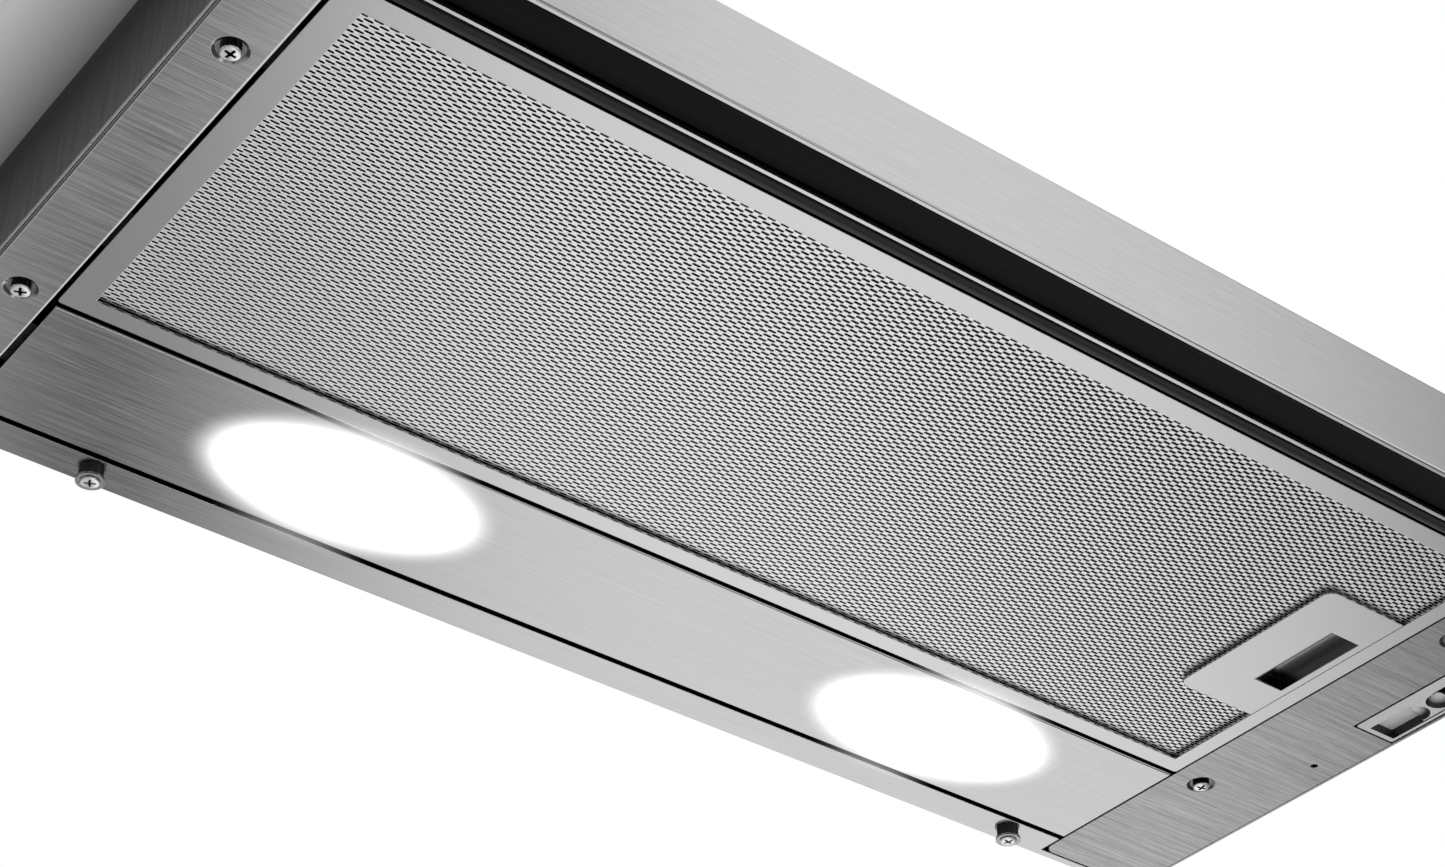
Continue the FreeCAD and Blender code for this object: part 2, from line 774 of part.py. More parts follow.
def slide_knob(y):
    """Knob with a thin middle fin and a finger scoop on each side."""
    x0 = recess_x0 + knob_side_gap
    x1 = recess_x1 - knob_side_gap
    top = recess_depth - seat_gap
    knob = box(x0, x1, y - knob_length / 2, y + knob_length / 2, knob_face, top)
    x = stem_x
    ball_z = top - 0.8 - scoop_r
    reach = math.sqrt(scoop_r ** 2 - (knob_face - ball_z) ** 2)
    for side in (-1, 1):
        knob = knob.cut(Part.makeSphere(scoop_r, V(x, y + side * (fin_half + reach), ball_z)))
    w = stem_width / 2
    stem_top = recess_depth + 1 + 5
    stem = box(x - w, x + w, y - stem_length / 2, y + stem_length / 2, top - 0.5, stem_top)
    return knob.fuse(stem).removeSplitter()


def switch_body(y, travel):
    """Switch case above the bezel, with the slot its knob stem works in."""
    z0 = recess_depth + 1
    x = stem_x
    y1 = y + stem_length / 2 + 4
    y0 = y - travel - stem_length / 2 - 4
    case = box(x - 6.5, x + 6.5, y0, y1, z0, z0 + switch_body_height)
    w = stem_width / 2 + seat_gap
    slot = box(x - w, x + w, y0 + 3, y1 - 3, z0 - 1, z0 + 6)
    return case.cut(slot)


# ---- visor
def visor_fascia():
    """Front strip, folded round the bottom, the top and both ends."""
    y0 = -depth
    y1 = fascia_back_y
    face = box(-half, half, y0, y1, 0, fascia_height)
    hem = box(-half, half, y1, y0 + fascia_hem, 0, visor_sheet)
    top = box(-half, half, y1, y0 + fascia_return, fascia_height - sheet, fascia_height)
    ends = []
    for side in (-1, 1):
        x = side * (half - sheet / 2)
        ends.append(box(x - sheet / 2, x + sheet / 2, y1, y0 + fascia_return, 0, fascia_height - sheet))
    shape = fuse([face, hem, top] + ends)
    return soften(shape, 0.7, (1, 0, 0), [(0, y0, 0), (0, y0, fascia_height)])


def fascia_stiffener():
    """Channel between the fascia and the visor sheet."""
    z0 = grip_recess + visor_sheet
    z1 = fascia_height - sheet
    x = inner - 1
    y0 = fascia_back_y
    web = box(-x, x, y0, y0 + visor_sheet, z0, z1)
    foot = box(-x, x, y0, y0 + 10, z0, z0 + visor_sheet)
    top = box(-x, x, y0, y0 + 10, z1 - visor_sheet, z1)
    return fuse([web, foot, top])


def visor_pan():
    """Dark sheet: a sunk grip strip behind the fascia, a riser and the deep upper plate."""
    x = inner - 0.5
    t = visor_sheet
    z = grip_recess
    strip = box(-x, x, grip_lip_y, riser_y, z, z + t)
    lip = box(-x, x, grip_lip_y, grip_lip_y + t, 0.4, z)
    xv = visor_half + visor_sheet
    riser = box(-xv, xv, riser_y - t, riser_y, z + t, visor_z + t)
    plate = box(-xv, xv, riser_y, visor_reach_y, visor_z, visor_z + t)
    edges = []
    for side in (-1, 1):
        x0 = side * (xv - t / 2)
        top = visor_z + visor_flange
        edges.append(box(x0 - t / 2, x0 + t / 2, riser_y, visor_reach_y, visor_z + t, top))
    return fuse([strip, lip, riser, plate] + edges)


def slide_rails():
    """Channels on the side walls, each with the stop that ends the visor's travel."""
    shapes = []
    y0 = panel_front_y + 0.5
    z0 = slide_z
    z1 = slide_z + slide_height
    for side in (-1, 1):
        web = box(inner - rail_web, inner, y0, -20, z0, z1)
        low = box(inner - rail_depth, inner - rail_web, y0, -20, z0, z0 + slide_wall)
        high = box(inner - rail_depth, inner - rail_web, y0, -20, z1 - slide_wall, z1)
        glide_y = riser_y + runner_length - glide_length
        stop_y = glide_y - visor_travel - 0.3
        stop = box(inner - 5, inner - rail_web, stop_y - stop_length, stop_y, z0 + 5, z1 - 5)
        rail = fuse([web, low, high, stop])
        shapes.append(rail if side > 0 else rail.mirror(V(0, 0, 0), V(1, 0, 0)))
    return Part.makeCompound(shapes)


def visor_runners():
    """Steel channels that carry the visor in the side rails."""
    shapes = []
    x0 = visor_half + visor_sheet
    x1 = inner - rail_web - 2
    z0 = slide_z + slide_wall + runner_gap
    z1 = slide_z + slide_height - slide_wall - runner_gap
    y0 = riser_y
    y1 = y0 + runner_length
    for side in (-1, 1):
        web = box(x0, x0 + 1, y0, y1, z0, z1)
        low = box(x0 + 1, x1, y0, y1, z0, z0 + 1)
        high = box(x0 + 1, x1, y0, y1, z1 - 1, z1)
        runner = fuse([web, low, high])
        shapes.append(runner if side > 0 else runner.mirror(V(0, 0, 0), V(1, 0, 0)))
    return Part.makeCompound(shapes)


def visor_glides():
    """Nylon blocks in the rear ends of the runners."""
    shapes = []
    z0 = slide_z + slide_wall + runner_gap + 1
    z1 = slide_z + slide_height - slide_wall - runner_gap - 1
    y1 = riser_y + runner_length
    x0 = visor_half + visor_sheet + 1
    for side in (-1, 1):
        block = box(x0, inner - rail_web - seat_gap, y1 - glide_length, y1, z0, z1)
        shapes.append(block if side > 0 else block.mirror(V(0, 0, 0), V(1, 0, 0)))
    return Part.makeCompound(shapes)


# ---- blower box
def housing_shell():
    """Front, top and rear of the blower box in one folded sheet."""
    x = box_width / 2 - sheet
    z0 = tray_height
    front = box(-x, x, box_front_y, box_front_y + sheet, z0, box_top)
    rear = box(-x, x, box_rear_y - sheet, box_rear_y, z0, box_top)
    top = box(-x, x, box_front_y + sheet, box_rear_y - sheet, box_top - sheet, box_top)
    shape = fuse([front, rear, top])
    edges = [(0, box_front_y, box_top), (0, box_rear_y, box_top)]
    shape = soften(shape, 0.8, (1, 0, 0), edges)
    return shape.cut(rod(duct_r, (0, collar_y, box_top - 5), (0, 0, 1), 10))


def riveted_foot(x1, x2):
    """Foot of an upright plate on the deck, between two x values, with its three rivets."""
    foot = box(min(x1, x2), max(x1, x2), box_front_y, box_rear_y, tray_height, tray_height + sheet)
    shapes = [foot]
    for y in (box_front_y + 20, (box_front_y + box_rear_y) / 2, box_rear_y - 20):
        at = ((x1 + x2) / 2, y, tray_height + sheet)
        shapes.append(Part.makeCone(2.4, 1.4, 1.0, V(*at), V(0, 0, 1)))
    return fuse(shapes)


def housing_end(side):
    """End plate of the blower box, with the foot that is riveted to the deck."""
    x1 = side * box_width / 2
    x0 = x1 - side * sheet
    plate = box(min(x0, x1), max(x0, x1), box_front_y, box_rear_y, tray_height, box_top)
    return fuse([plate, riveted_foot(x1, x1 + side * box_flange)])


def side_plate(side):
    """Plate above the tray's side that takes the screws into the unit beside the hood."""
    outer = side * (width / 2 - side_plate_from_side)
    x1 = outer - side * sheet
    x = (min(outer, x1), max(outer, x1))
    r = side_plate_corner
    front, rear = box_front_y, box_rear_y
    shapes = [
        box(*x, front, rear, tray_height, box_top - r),
        box(*x, front + r, rear - r, box_top - r, box_top),
        rod(r, (x[0], front + r, box_top - r), (1, 0, 0), sheet),
        rod(r, (x[0], rear - r, box_top - r), (1, 0, 0), sheet),
        riveted_foot(x1, x1 - side * side_plate_foot)]
    shape = fuse(shapes)
    for y in (front + side_plate_hole_inset, rear - side_plate_hole_inset):
        at = (x[0] - 1, y, box_top - side_plate_hole_inset)
        shape = shape.cut(rod(side_plate_hole_r, at, (1, 0, 0), sheet + 2))
    return shape


def scroll_outline(grow, x0, x1):
    """Solid of the volute and its upward neck, grown by a margin, between two sides."""
    length = x1 - x0
    drum = rod(scroll_r + grow, (x0, scroll_y, axle_z), (1, 0, 0), length)
    y0 = scroll_rear_y - outlet_depth - grow
    y1 = scroll_rear_y + grow
    neck = box(x0, x1, y0, y1, axle_z, box_top - sheet)
    return drum.fuse(neck)


def scroll_wrapper():
    """Curved band of the blower casing."""
    x = half_scroll - scroll_wall
    band = scroll_outline(0, -x, x).cut(scroll_outline(-scroll_wall, -x - 1, x + 1))
    y0 = scroll_rear_y - outlet_depth + scroll_wall
    y1 = scroll_rear_y - scroll_wall
    return band.cut(box(-x, x, y0, y1, box_top - 3, box_top))


def scroll_sides():
    """Two side plates with round inlets; the left one carries the motor."""
    shapes = []
    for side in (-1, 1):
        x1 = side * half_scroll
        x0 = x1 - side * scroll_wall
        plate = scroll_outline(0, min(x0, x1), max(x0, x1))
        inward = (-side, 0, 0)
        lip = rod(inlet_r + scroll_wall, (x1, axle_y, axle_z), inward, inlet_lip)
        hole = rod(inlet_r, (x1 + side, axle_y, axle_z), inward, inlet_lip + 2)
        shapes.append(plate.fuse(lip).cut(hole).removeSplitter())
    return Part.makeCompound(shapes)


def impeller():
    """Double-inlet squirrel-cage wheel."""
    hw = wheel_width / 2
    disc = rod(wheel_r - 0.4, (-1, axle_y, axle_z), (1, 0, 0), 2)
    hub = rod(hub_r, (-hub_length / 2, axle_y, axle_z), (1, 0, 0), hub_length)
    pieces = [hub]
    for x in (-hw, hw - wheel_ring):
        pieces.append(tube(wheel_r, wheel_inner_r, (x, axle_y, axle_z), (1, 0, 0), wheel_ring))
    middle_r = (wheel_r + wheel_inner_r) / 2
    reach = (wheel_r - wheel_inner_r - 0.8) / math.cos(math.radians(blade_angle)) / 2
    for i in range(blade_count):
        half_blade = blade_thick / 2
        blade = box(-hw + 0.5, hw - 0.5, -half_blade, half_blade, -reach, reach)
        blade.rotate(V(0, 0, 0), V(1, 0, 0), blade_angle)
        blade.translate(V(0, 0, middle_r))
        blade.rotate(V(0, 0, 0), V(1, 0, 0), 360.0 * i / blade_count)
        pieces.append(blade.translated(V(0, axle_y, axle_z)))
    wheel = disc.multiFuse(pieces)
    return wheel.cut(rod(axle_r, (-hw, axle_y, axle_z), (1, 0, 0), wheel_width))


def impeller_shaft():
    """Shaft from the motor's far bearing through the hub."""
    x0 = -half_scroll - motor_to_scroll - motor_length + 1
    x1 = hub_length / 2 + 3
    return rod(axle_r, (x0, axle_y, axle_z), (1, 0, 0), x1 - x0)


def motor_body():
    """Induction motor case with a through bore for its bearings."""
    x0 = -half_scroll - motor_to_scroll - motor_length
    case = rod(motor_r, (x0, axle_y, axle_z), (1, 0, 0), motor_length)
    case = case.makeFillet(3.0, [e for e in case.Edges if isinstance(e.Curve, Part.Circle)])
    band = rod(motor_r + 1.2, (x0 + 22, axle_y, axle_z), (1, 0, 0), 14)
    bore = rod(bearing_r, (x0 - 1, axle_y, axle_z), (1, 0, 0), motor_length + 2)
    return case.fuse(band).cut(bore)


def motor_bearings():
    """Bronze bush at each end of the motor."""
    shapes = []
    x0 = -half_scroll - motor_to_scroll - motor_length
    for x in (x0 + 2, x0 + motor_length - 2 - bearing_length):
        at = (x, axle_y, axle_z)
        shapes.append(tube(bearing_r, axle_r + axle_fit, at, (1, 0, 0), bearing_length))
    return Part.makeCompound(shapes)


def motor_bracket():
    """Ring round the motor with three arms to the scroll's side plate."""
    x0 = -half_scroll - motor_to_scroll - motor_length + 36
    ring = tube(motor_r + motor_ring, motor_r, (x0, axle_y, axle_z), (1, 0, 0), 8)
    shapes = [ring]
    for angle in (90, 210, 330):
        arm = box(x0, -half_scroll, -6, 6, motor_r + 1, motor_r + 4)
        spread = box(-half_scroll - 3, -half_scroll, -6, 6, motor_r + 1, inlet_r + 12)
        for piece in (arm, spread):
            piece.rotate(V(0, 0, 0), V(1, 0, 0), angle)
            shapes.append(piece.translated(V(0, axle_y, axle_z)))
    return fuse(shapes)


def run_capacitor():
    """Motor capacitor in its clip on the rear sheet."""
    y = box_rear_y - sheet
    can = rod(14, (110, y - 17, 80), (1, 0, 0), 62)
    clip = box(132, 150, y - 18, y, 64.5, 95.5)
    cap = rod(11, (172, y - 17, 80), (1, 0, 0), 3)
    return fuse([can, clip, cap])


def terminal_box():
    """Connection box on top of the blower box."""
    case = box(130, 200, -90, -40, box_top, box_top + 24)
    corners = [(x, y, 0) for x in (130, 200) for y in (-90, -40)]
    case = soften(case, 3.0, (0, 0, 1), corners)
    hole = rod(7.0, (190, -65, box_top + 12), (1, 0, 0), 20)
    return case.cut(hole)


def cable_gland():
    """Mains inlet: a hexagon nut and a sleeve with the cable's bore."""
    at = (190, -65, box_top + 12)
    sleeve = rod(7.0, at, (1, 0, 0), 22)
    points = []
    for i in range(6):
        a = math.radians(60 * i)
        points.append((200, at[1] + 10 * math.cos(a), at[2] + 10 * math.sin(a)))
    nut = profile(points, (1, 0, 0), 6)
    return fuse([sleeve, nut]).cut(rod(4.0, (189, at[1], at[2]), (1, 0, 0), 30))


# ---- duct collar
def outlet_collar():
    """Spigot for the duct, with the ledge that the flaps close on."""
    at = (0, collar_y, box_top)
    up = (0, 0, 1)
    shell = tube(collar_r, duct_r, at, up, collar_height)
    flange = tube(collar_flange_r, duct_r, at, up, collar_flange)
    ledge_z = damper_axis_z - damper_thick / 2 - 0.2 - 2
    ledge = tube(duct_r + 0.5, duct_r - damper_ledge, (0, collar_y, ledge_z), up, 2)
    notch = box(-4.5, 4.5, collar_y - duct_r, collar_y + duct_r, ledge_z - 1, ledge_z + 3)
    shape = fuse([shell, flange, ledge.cut(notch)])
    pin_room = rod(damper_pin_r, (0, collar_y - collar_r, damper_axis_z), (0, 1, 0), 2 * collar_r)
    return shape.cut(pin_room)


def damper_pin():
    """Wire across the collar that both flaps turn on."""
    reach = collar_r - 0.4
    return rod(damper_pin_r, (0, collar_y - reach, damper_axis_z), (0, 1, 0), 2 * reach)


def damper_flap(side):
    """Half-round flap with three hinge barrels on the pin."""
    r = duct_r - 1.2
    z0 = damper_axis_z - damper_thick / 2
    disc = rod(r, (0, collar_y, z0), (0, 0, 1), damper_thick)
    edge = damper_barrel_r + damper_gap
    x0, x1 = (-r - 1, -edge) if side < 0 else (edge, r + 1)
    flap = disc.common(box(x0, x1, collar_y - r, collar_y + r, z0, z0 + damper_thick))
    span = 2 * (r - 6)
    piece = span / barrel_count
    shapes = [flap]
    for i in range(barrel_count):
        if (i % 2 == 0) != (side < 0):
            continue
        y0 = collar_y - span / 2 + i * piece + damper_gap / 2
        length = piece - damper_gap
        shapes.append(rod(damper_barrel_r, (0, y0, damper_axis_z), (0, 1, 0), length))
        web_x = (-edge - 1, 0) if side < 0 else (0, edge + 1)
        shapes.append(box(*web_x, y0, y0 + length, z0, z0 + damper_thick))
    bore = rod(damper_pin_r + axle_fit, (0, collar_y - r, damper_axis_z), (0, 1, 0), 2 * r)
    return fuse(shapes).cut(bore)


parts = {
    "side_wall_left": lambda: side_wall(-1),
    "side_wall_right": lambda: side_wall(1),
    "rear_wall": rear_wall,
    "top_deck": top_deck,
    "left_panel": left_panel,
    "control_panel": control_panel,
    "lamp_panel": lamp_panel,
    "front_cross_rail": front_cross_rail,
    "front_seal_bar": front_seal_bar,
    "panel_brackets": panel_brackets,
    "panel_screws": panel_screws,
    "rear_spacers": rear_spacers,
    "rear_washers": rear_washers,
    "rear_screws": rear_screws,
    "lamp_lens_left": lambda: lamp_lens(-1),
    "lamp_lens_right": lambda: lamp_lens(1),
    "lamp_holder_left": lambda: lamp_holder(-1),
    "lamp_holder_right": lambda: lamp_holder(1),
    "led_boards": led_boards,
    "led_driver": led_driver,
    "filter_frame": filter_frame,
    "filter_mesh_face": lambda: mesh_layer(0, mesh_sheet),
    "filter_mesh_core": lambda: mesh_layer(1, mesh_core),
    "filter_mesh_back": lambda: mesh_layer(2, mesh_sheet),
    "filter_hinge_tabs": hinge_tabs,
    "latch_handle": latch_handle,
    "latch_tongue": latch_tongue,
    "latch_springs": latch_springs,
    "switch_bezel": switch_bezel,
    "light_slider": lambda: slide_knob(light_knob_y),
    "fan_slider": lambda: slide_knob(fan_knob_y),
    "light_switch": lambda: switch_body(light_knob_y, light_travel),
    "fan_switch": lambda: switch_body(fan_knob_y, fan_travel),
    "visor_fascia": visor_fascia,
    "fascia_stiffener": fascia_stiffener,
    "visor_pan": visor_pan,
    "slide_rails": slide_rails,
    "visor_runners": visor_runners,
    "visor_glides": visor_glides,
    "housing_shell": housing_shell,
    "housing_end_left": lambda: housing_end(-1),
    "housing_end_right": lambda: housing_end(1),
    "side_plate_left": lambda: side_plate(-1),
    "side_plate_right": lambda: side_plate(1),
    "scroll_wrapper": scroll_wrapper,
    "scroll_sides": scroll_sides,
    "impeller": impeller,
    "impeller_shaft": impeller_shaft,
    "motor_body": motor_body,
    "motor_bearings": motor_bearings,
    "motor_bracket": motor_bracket,
    "run_capacitor": run_capacitor,
    "terminal_box": terminal_box,
    "cable_gland": cable_gland,
    "outlet_collar": outlet_collar,
    "damper_pin": damper_pin,
    "damper_flap_left": lambda: damper_flap(-1),
    "damper_flap_right": lambda: damper_flap(1),
}


def main():
    """Writes each sub-part, moved so that the origin is the middle of the fixing holes."""
    os.makedirs("parts", exist_ok=True)
    to_origin = V(0, -fix_centre_y, -tray_height)
    for name, make in parts.items():
        shape = make().translated(to_origin)
        state = "ok" if shape.isValid() else "INVALID"
        print(f"{name}: {len(shape.Solids)} solid(s), {shape.Volume / 1000:.1f} cm3, {state}")
        shape.exportStep(f"parts/{name}.step")


main()
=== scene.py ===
"""Looks of a slide-out range hood: brushed steel tray, expanded-metal grease filter, lit oval lamps.

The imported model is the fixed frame. Places are written in millimetres from the tray's rear lower
edge (x from the middle, y towards the cook negative, z upwards) and turned to scene metres by tray().
"""
import math

import bmesh
import bpy
from mathutils import Matrix, Vector


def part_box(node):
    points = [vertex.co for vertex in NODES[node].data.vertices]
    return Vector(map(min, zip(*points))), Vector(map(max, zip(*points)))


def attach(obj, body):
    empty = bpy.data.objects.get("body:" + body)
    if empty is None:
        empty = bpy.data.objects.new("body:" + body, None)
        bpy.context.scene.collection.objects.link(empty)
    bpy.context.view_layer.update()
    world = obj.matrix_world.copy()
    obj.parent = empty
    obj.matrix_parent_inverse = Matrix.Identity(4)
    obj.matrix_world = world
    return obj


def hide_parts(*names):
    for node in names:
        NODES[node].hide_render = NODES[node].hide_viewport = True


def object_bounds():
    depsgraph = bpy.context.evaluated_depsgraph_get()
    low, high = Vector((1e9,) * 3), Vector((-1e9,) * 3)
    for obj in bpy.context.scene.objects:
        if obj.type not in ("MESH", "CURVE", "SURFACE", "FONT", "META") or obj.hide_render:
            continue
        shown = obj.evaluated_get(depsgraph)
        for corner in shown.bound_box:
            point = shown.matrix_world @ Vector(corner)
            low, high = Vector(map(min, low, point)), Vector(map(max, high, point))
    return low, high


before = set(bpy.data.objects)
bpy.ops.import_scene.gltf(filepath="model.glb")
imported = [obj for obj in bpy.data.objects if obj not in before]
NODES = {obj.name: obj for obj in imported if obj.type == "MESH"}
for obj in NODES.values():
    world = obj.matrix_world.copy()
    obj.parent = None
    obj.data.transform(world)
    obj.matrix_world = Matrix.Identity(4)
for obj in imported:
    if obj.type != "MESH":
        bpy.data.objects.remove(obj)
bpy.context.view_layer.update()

MM = 0.001
SCENE = bpy.context.scene

# The tray's rear lower edge in the frame's metres: every place below is measured from it.
TRAY_ORIGIN = Vector((0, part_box("rear_wall")[1].y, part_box("left_panel")[0].z))


def tray(x, y, z):
    """A point given in millimetres from the tray's rear lower edge."""
    return TRAY_ORIGIN + Vector((x, y, z)) * MM


def tray_box(node):
    """Lowest and highest corner of a CAD node in tray millimetres."""
    low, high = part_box(node)
    return (low - TRAY_ORIGIN) / MM, (high - TRAY_ORIGIN) / MM


def srgb(code):
    """An sRGB hex colour as the linear colour that a shader takes."""
    channels = [int(code[i:i + 2], 16) / 255 for i in (1, 3, 5)]
    linear = [c / 12.92 if c <= 0.04045 else ((c + 0.055) / 1.055) ** 2.4 for c in channels]
    return (*linear, 1.0)


# ---------------------------------------------------------------- camera and studio
CAMERA_PLACE = Vector((-0.5504, -0.6701, -0.6637))
CAMERA_RIGHT = Vector((0.79750, -0.60332, -0.00186))
CAMERA_DOWN = Vector((0.36009, 0.47845, -0.80089))
CAMERA_LENS = 73.02
FLOOR_DROP = 2.2                 # metres from the hood down to the studio floor
FLOOR_SIZE = 14.0


def make_camera():
    """Camera below and to the left of the hood, looking up at its underside."""
    data = bpy.data.cameras.new("camera")
    data.lens = CAMERA_LENS
    data.sensor_fit = "HORIZONTAL"
    data.sensor_width = 36.0
    data.clip_start = 0.01
    camera = bpy.data.objects.new("camera", data)
    SCENE.collection.objects.link(camera)
    forward = CAMERA_RIGHT.cross(-CAMERA_DOWN) * -1
    axes = Matrix((CAMERA_RIGHT, -CAMERA_DOWN, -forward)).transposed()
    camera.matrix_world = Matrix.Translation(CAMERA_PLACE) @ axes.to_4x4()
    SCENE.camera = camera


def add(tree, kind, inputs=None, **settings):
    """Adds a node with its settings; an input is a value or another node's output."""
    node = tree.nodes.new(kind)
    for name, value in settings.items():
        setattr(node, name, value)
    for key, value in (inputs or {}).items():
        if isinstance(value, bpy.types.NodeSocket):
            tree.links.new(value, node.inputs[key])
        else:
            node.inputs[key].default_value = value
    return node


# Upright softboxes round the hood: compass angle from the wall side towards the right, half width
# of the bright part, half width where it has faded, brightness.
SOFTBOXES = (
    (40, 3, 19, 0.90),
    (8, 7, 15, 0.42),
    (138, 2, 18, 0.88),
    (200, 12, 40, 0.30),
    (285, 20, 45, 0.25),
)
ROOM_LEVEL = 0.08
CEILING_LEVEL = 0.55


def studio_world():
    """White behind the hood, and a dim room with tall softboxes for what metal reflects."""
    world = bpy.data.worlds.new("studio")
    world.use_nodes = True
    SCENE.world = world
    tree = world.node_tree
    tree.nodes.clear()
    towards = add(tree, "ShaderNodeTexCoord").outputs["Generated"]
    level_way = add(tree, "ShaderNodeVectorMath", {0: towards, 1: (1, 1, 0)}, operation="MULTIPLY")
    way = add(tree, "ShaderNodeVectorMath", {0: level_way.outputs[0]}, operation="NORMALIZE")
    level = ROOM_LEVEL
    for angle, inner, outer, strength in SOFTBOXES:
        a = math.radians(angle)
        facing = add(tree, "ShaderNodeVectorMath",
                     {0: way.outputs[0], 1: (math.sin(a), math.cos(a), 0)}, operation="DOT_PRODUCT")
        box = add(tree, "ShaderNodeMapRange", {
            "Value": facing.outputs["Value"],
            "From Min": math.cos(math.radians(outer)), "From Max": math.cos(math.radians(inner)),
            "To Min": 0.0, "To Max": strength}, interpolation_type="SMOOTHSTEP")
        level = add(tree, "ShaderNodeMath", {0: level, 1: box.outputs["Result"]}).outputs[0]
    height = add(tree, "ShaderNodeSeparateXYZ", {0: towards}).outputs["Z"]
    ceiling = add(tree, "ShaderNodeMapRange", {
        "Value": height, "From Min": 0.72, "From Max": 0.95,
        "To Min": 0.0, "To Max": CEILING_LEVEL}, interpolation_type="SMOOTHSTEP")
    level = add(tree, "ShaderNodeMath", {0: level, 1: ceiling.outputs["Result"]}).outputs[0]
    room = add(tree, "ShaderNodeBackground", {"Color": level, "Strength": 1.0})
    white = add(tree, "ShaderNodeBackground", {"Color": (1, 1, 1, 1), "Strength": 1.0})
    seen = add(tree, "ShaderNodeLightPath").outputs["Is Camera Ray"]
    mix = add(tree, "ShaderNodeMixShader", {0: seen, 1: room.outputs[0], 2: white.outputs[0]})
    add(tree, "ShaderNodeOutputWorld", {"Surface": mix.outputs[0]})


# Lamps of the studio: name, place, size, power. Each looks at the hood.
STUDIO_LAMPS = (
    ("lamp_below_front", (-0.6, -1.6, -1.7), 1.6, 17),
    ("lamp_below_right", (1.7, -0.2, -1.5), 1.6, 14),
    ("lamp_above_front", (-1.2, -1.6, 2.0), 1.8, 26),
    ("lamp_above_rear", (1.6, 1.8, 1.9), 1.8, 22),
)


def studio_lamps():
    """Large soft lamps that light what isn't metal, and don't show in the metal."""
    for name, place, size, power in STUDIO_LAMPS:
        data = bpy.data.lights.new(name, "AREA")
        data.shape = "DISK"
        data.size = size
        data.energy = power
        lamp = bpy.data.objects.new(name, data)
        SCENE.collection.objects.link(lamp)
        lamp.location = place
        lamp.rotation_euler = (-Vector(place)).to_track_quat("-Z", "Y").to_euler()
        lamp.visible_glossy = False


def studio_floor():
    """Pale floor far below the hanging hood."""
    half = FLOOR_SIZE / 2
    mesh = bpy.data.meshes.new("floor")
    corners = [(-half, -half), (half, -half), (half, half), (-half, half)]
    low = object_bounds()[0][2] - FLOOR_DROP
    mesh.from_pydata([(x, y, low) for x, y in corners], [], [(0, 1, 2, 3)])
    floor = bpy.data.objects.new("floor", mesh)
    SCENE.collection.objects.link(floor)
    material = bpy.data.materials.new("pale_studio_paper")
    material.use_nodes = True
    tree = material.node_tree
    tree.nodes.clear()
    paper = add(tree, "ShaderNodeBsdfDiffuse", {"Color": srgb("#E6E6E6")})
    glow = add(tree, "ShaderNodeEmission", {"Color": (1, 1, 1, 1), "Strength": 1.0})
    seen = add(tree, "ShaderNodeLightPath").outputs["Is Camera Ray"]
    mix = add(tree, "ShaderNodeMixShader", {0: seen, 1: paper.outputs[0], 2: glow.outputs[0]})
    add(tree, "ShaderNodeOutputMaterial", {"Surface": mix.outputs[0]})
    mesh.materials.append(material)
    floor.visible_glossy = False


# ---------------------------------------------------------------- finishes
def new_material(name, **shader_values):
    """A material with one Principled shader; returns its tree and that shader."""
    material = bpy.data.materials.new(name)
    material.use_nodes = True
    tree = material.node_tree
    tree.nodes.clear()
    shader = add(tree, "ShaderNodeBsdfPrincipled", shader_values)
    add(tree, "ShaderNodeOutputMaterial", {"Surface": shader.outputs[0]})
    return material, tree, shader


def grain(tree, size, detail=3.0, roughness=0.55):
    """Noise whose cells measure size millimetres along x, y and z."""
    place = add(tree, "ShaderNodeTexCoord").outputs["Object"]
    scale = [1 / (s * MM) for s in size]
    mapped = add(tree, "ShaderNodeMapping", {"Vector": place, "Scale": scale})
    return add(tree, "ShaderNodeTexNoise", {
        "Vector": mapped.outputs[0], "Scale": 1.0, "Detail": detail,
        "Roughness": roughness}).outputs[0]


def ramp(tree, value, low, high, start=0.0, stop=1.0):
    """Maps a value between two bounds onto a range."""
    return add(tree, "ShaderNodeMapRange", {
        "Value": value, "From Min": low, "From Max": high,
        "To Min": start, "To Max": stop}).outputs["Result"]


def shade(tree, value, dark, light, low=0.3, high=0.7):
    """A colour between two sRGB colours, led by a noise value."""
    position = ramp(tree, value, low, high)
    return add(tree, "ShaderNodeMix", {0: position, 6: srgb(dark), 7: srgb(light)},
               data_type="RGBA").outputs[2]


def rounded(tree, radius):
    """Normal that rounds the sharp folds of sheet metal by a radius in millimetres."""
    return add(tree, "ShaderNodeBevel", {"Radius": radius * MM}, samples=6).outputs[0]


def relief(tree, height, depth, edge):
    """Bump of a depth in millimetres on top of rounded folds."""
    return add(tree, "ShaderNodeBump", {
        "Height": height, "Distance": depth * MM, "Strength": 1.0,
        "Normal": rounded(tree, edge)}).outputs[0]


def height_shade(tree, colour, low, high, darkest, facing=None):
    """Paints shade into a colour: darkens it between two heights above the underside, in millimetres.

    With a direction given, only faces that look that way are darkened.
    """
    place = add(tree, "ShaderNodeTexCoord")
    up = add(tree, "ShaderNodeSeparateXYZ", {0: place.outputs["Object"]}).outputs["Z"]
    depth = ramp(tree, up, tray(0, 0, low).z, tray(0, 0, high).z, 1.0, darkest)
    share = 1.0
    if facing:
        look = add(tree, "ShaderNodeVectorMath", {0: place.outputs["Normal"], 1: facing},
                   operation="DOT_PRODUCT").outputs["Value"]
        share = ramp(tree, look, 0.4, 0.8)
    return add(tree, "ShaderNodeMix", {0: share, 6: colour, 7: depth},
               data_type="RGBA", blend_type="MULTIPLY").outputs[2]


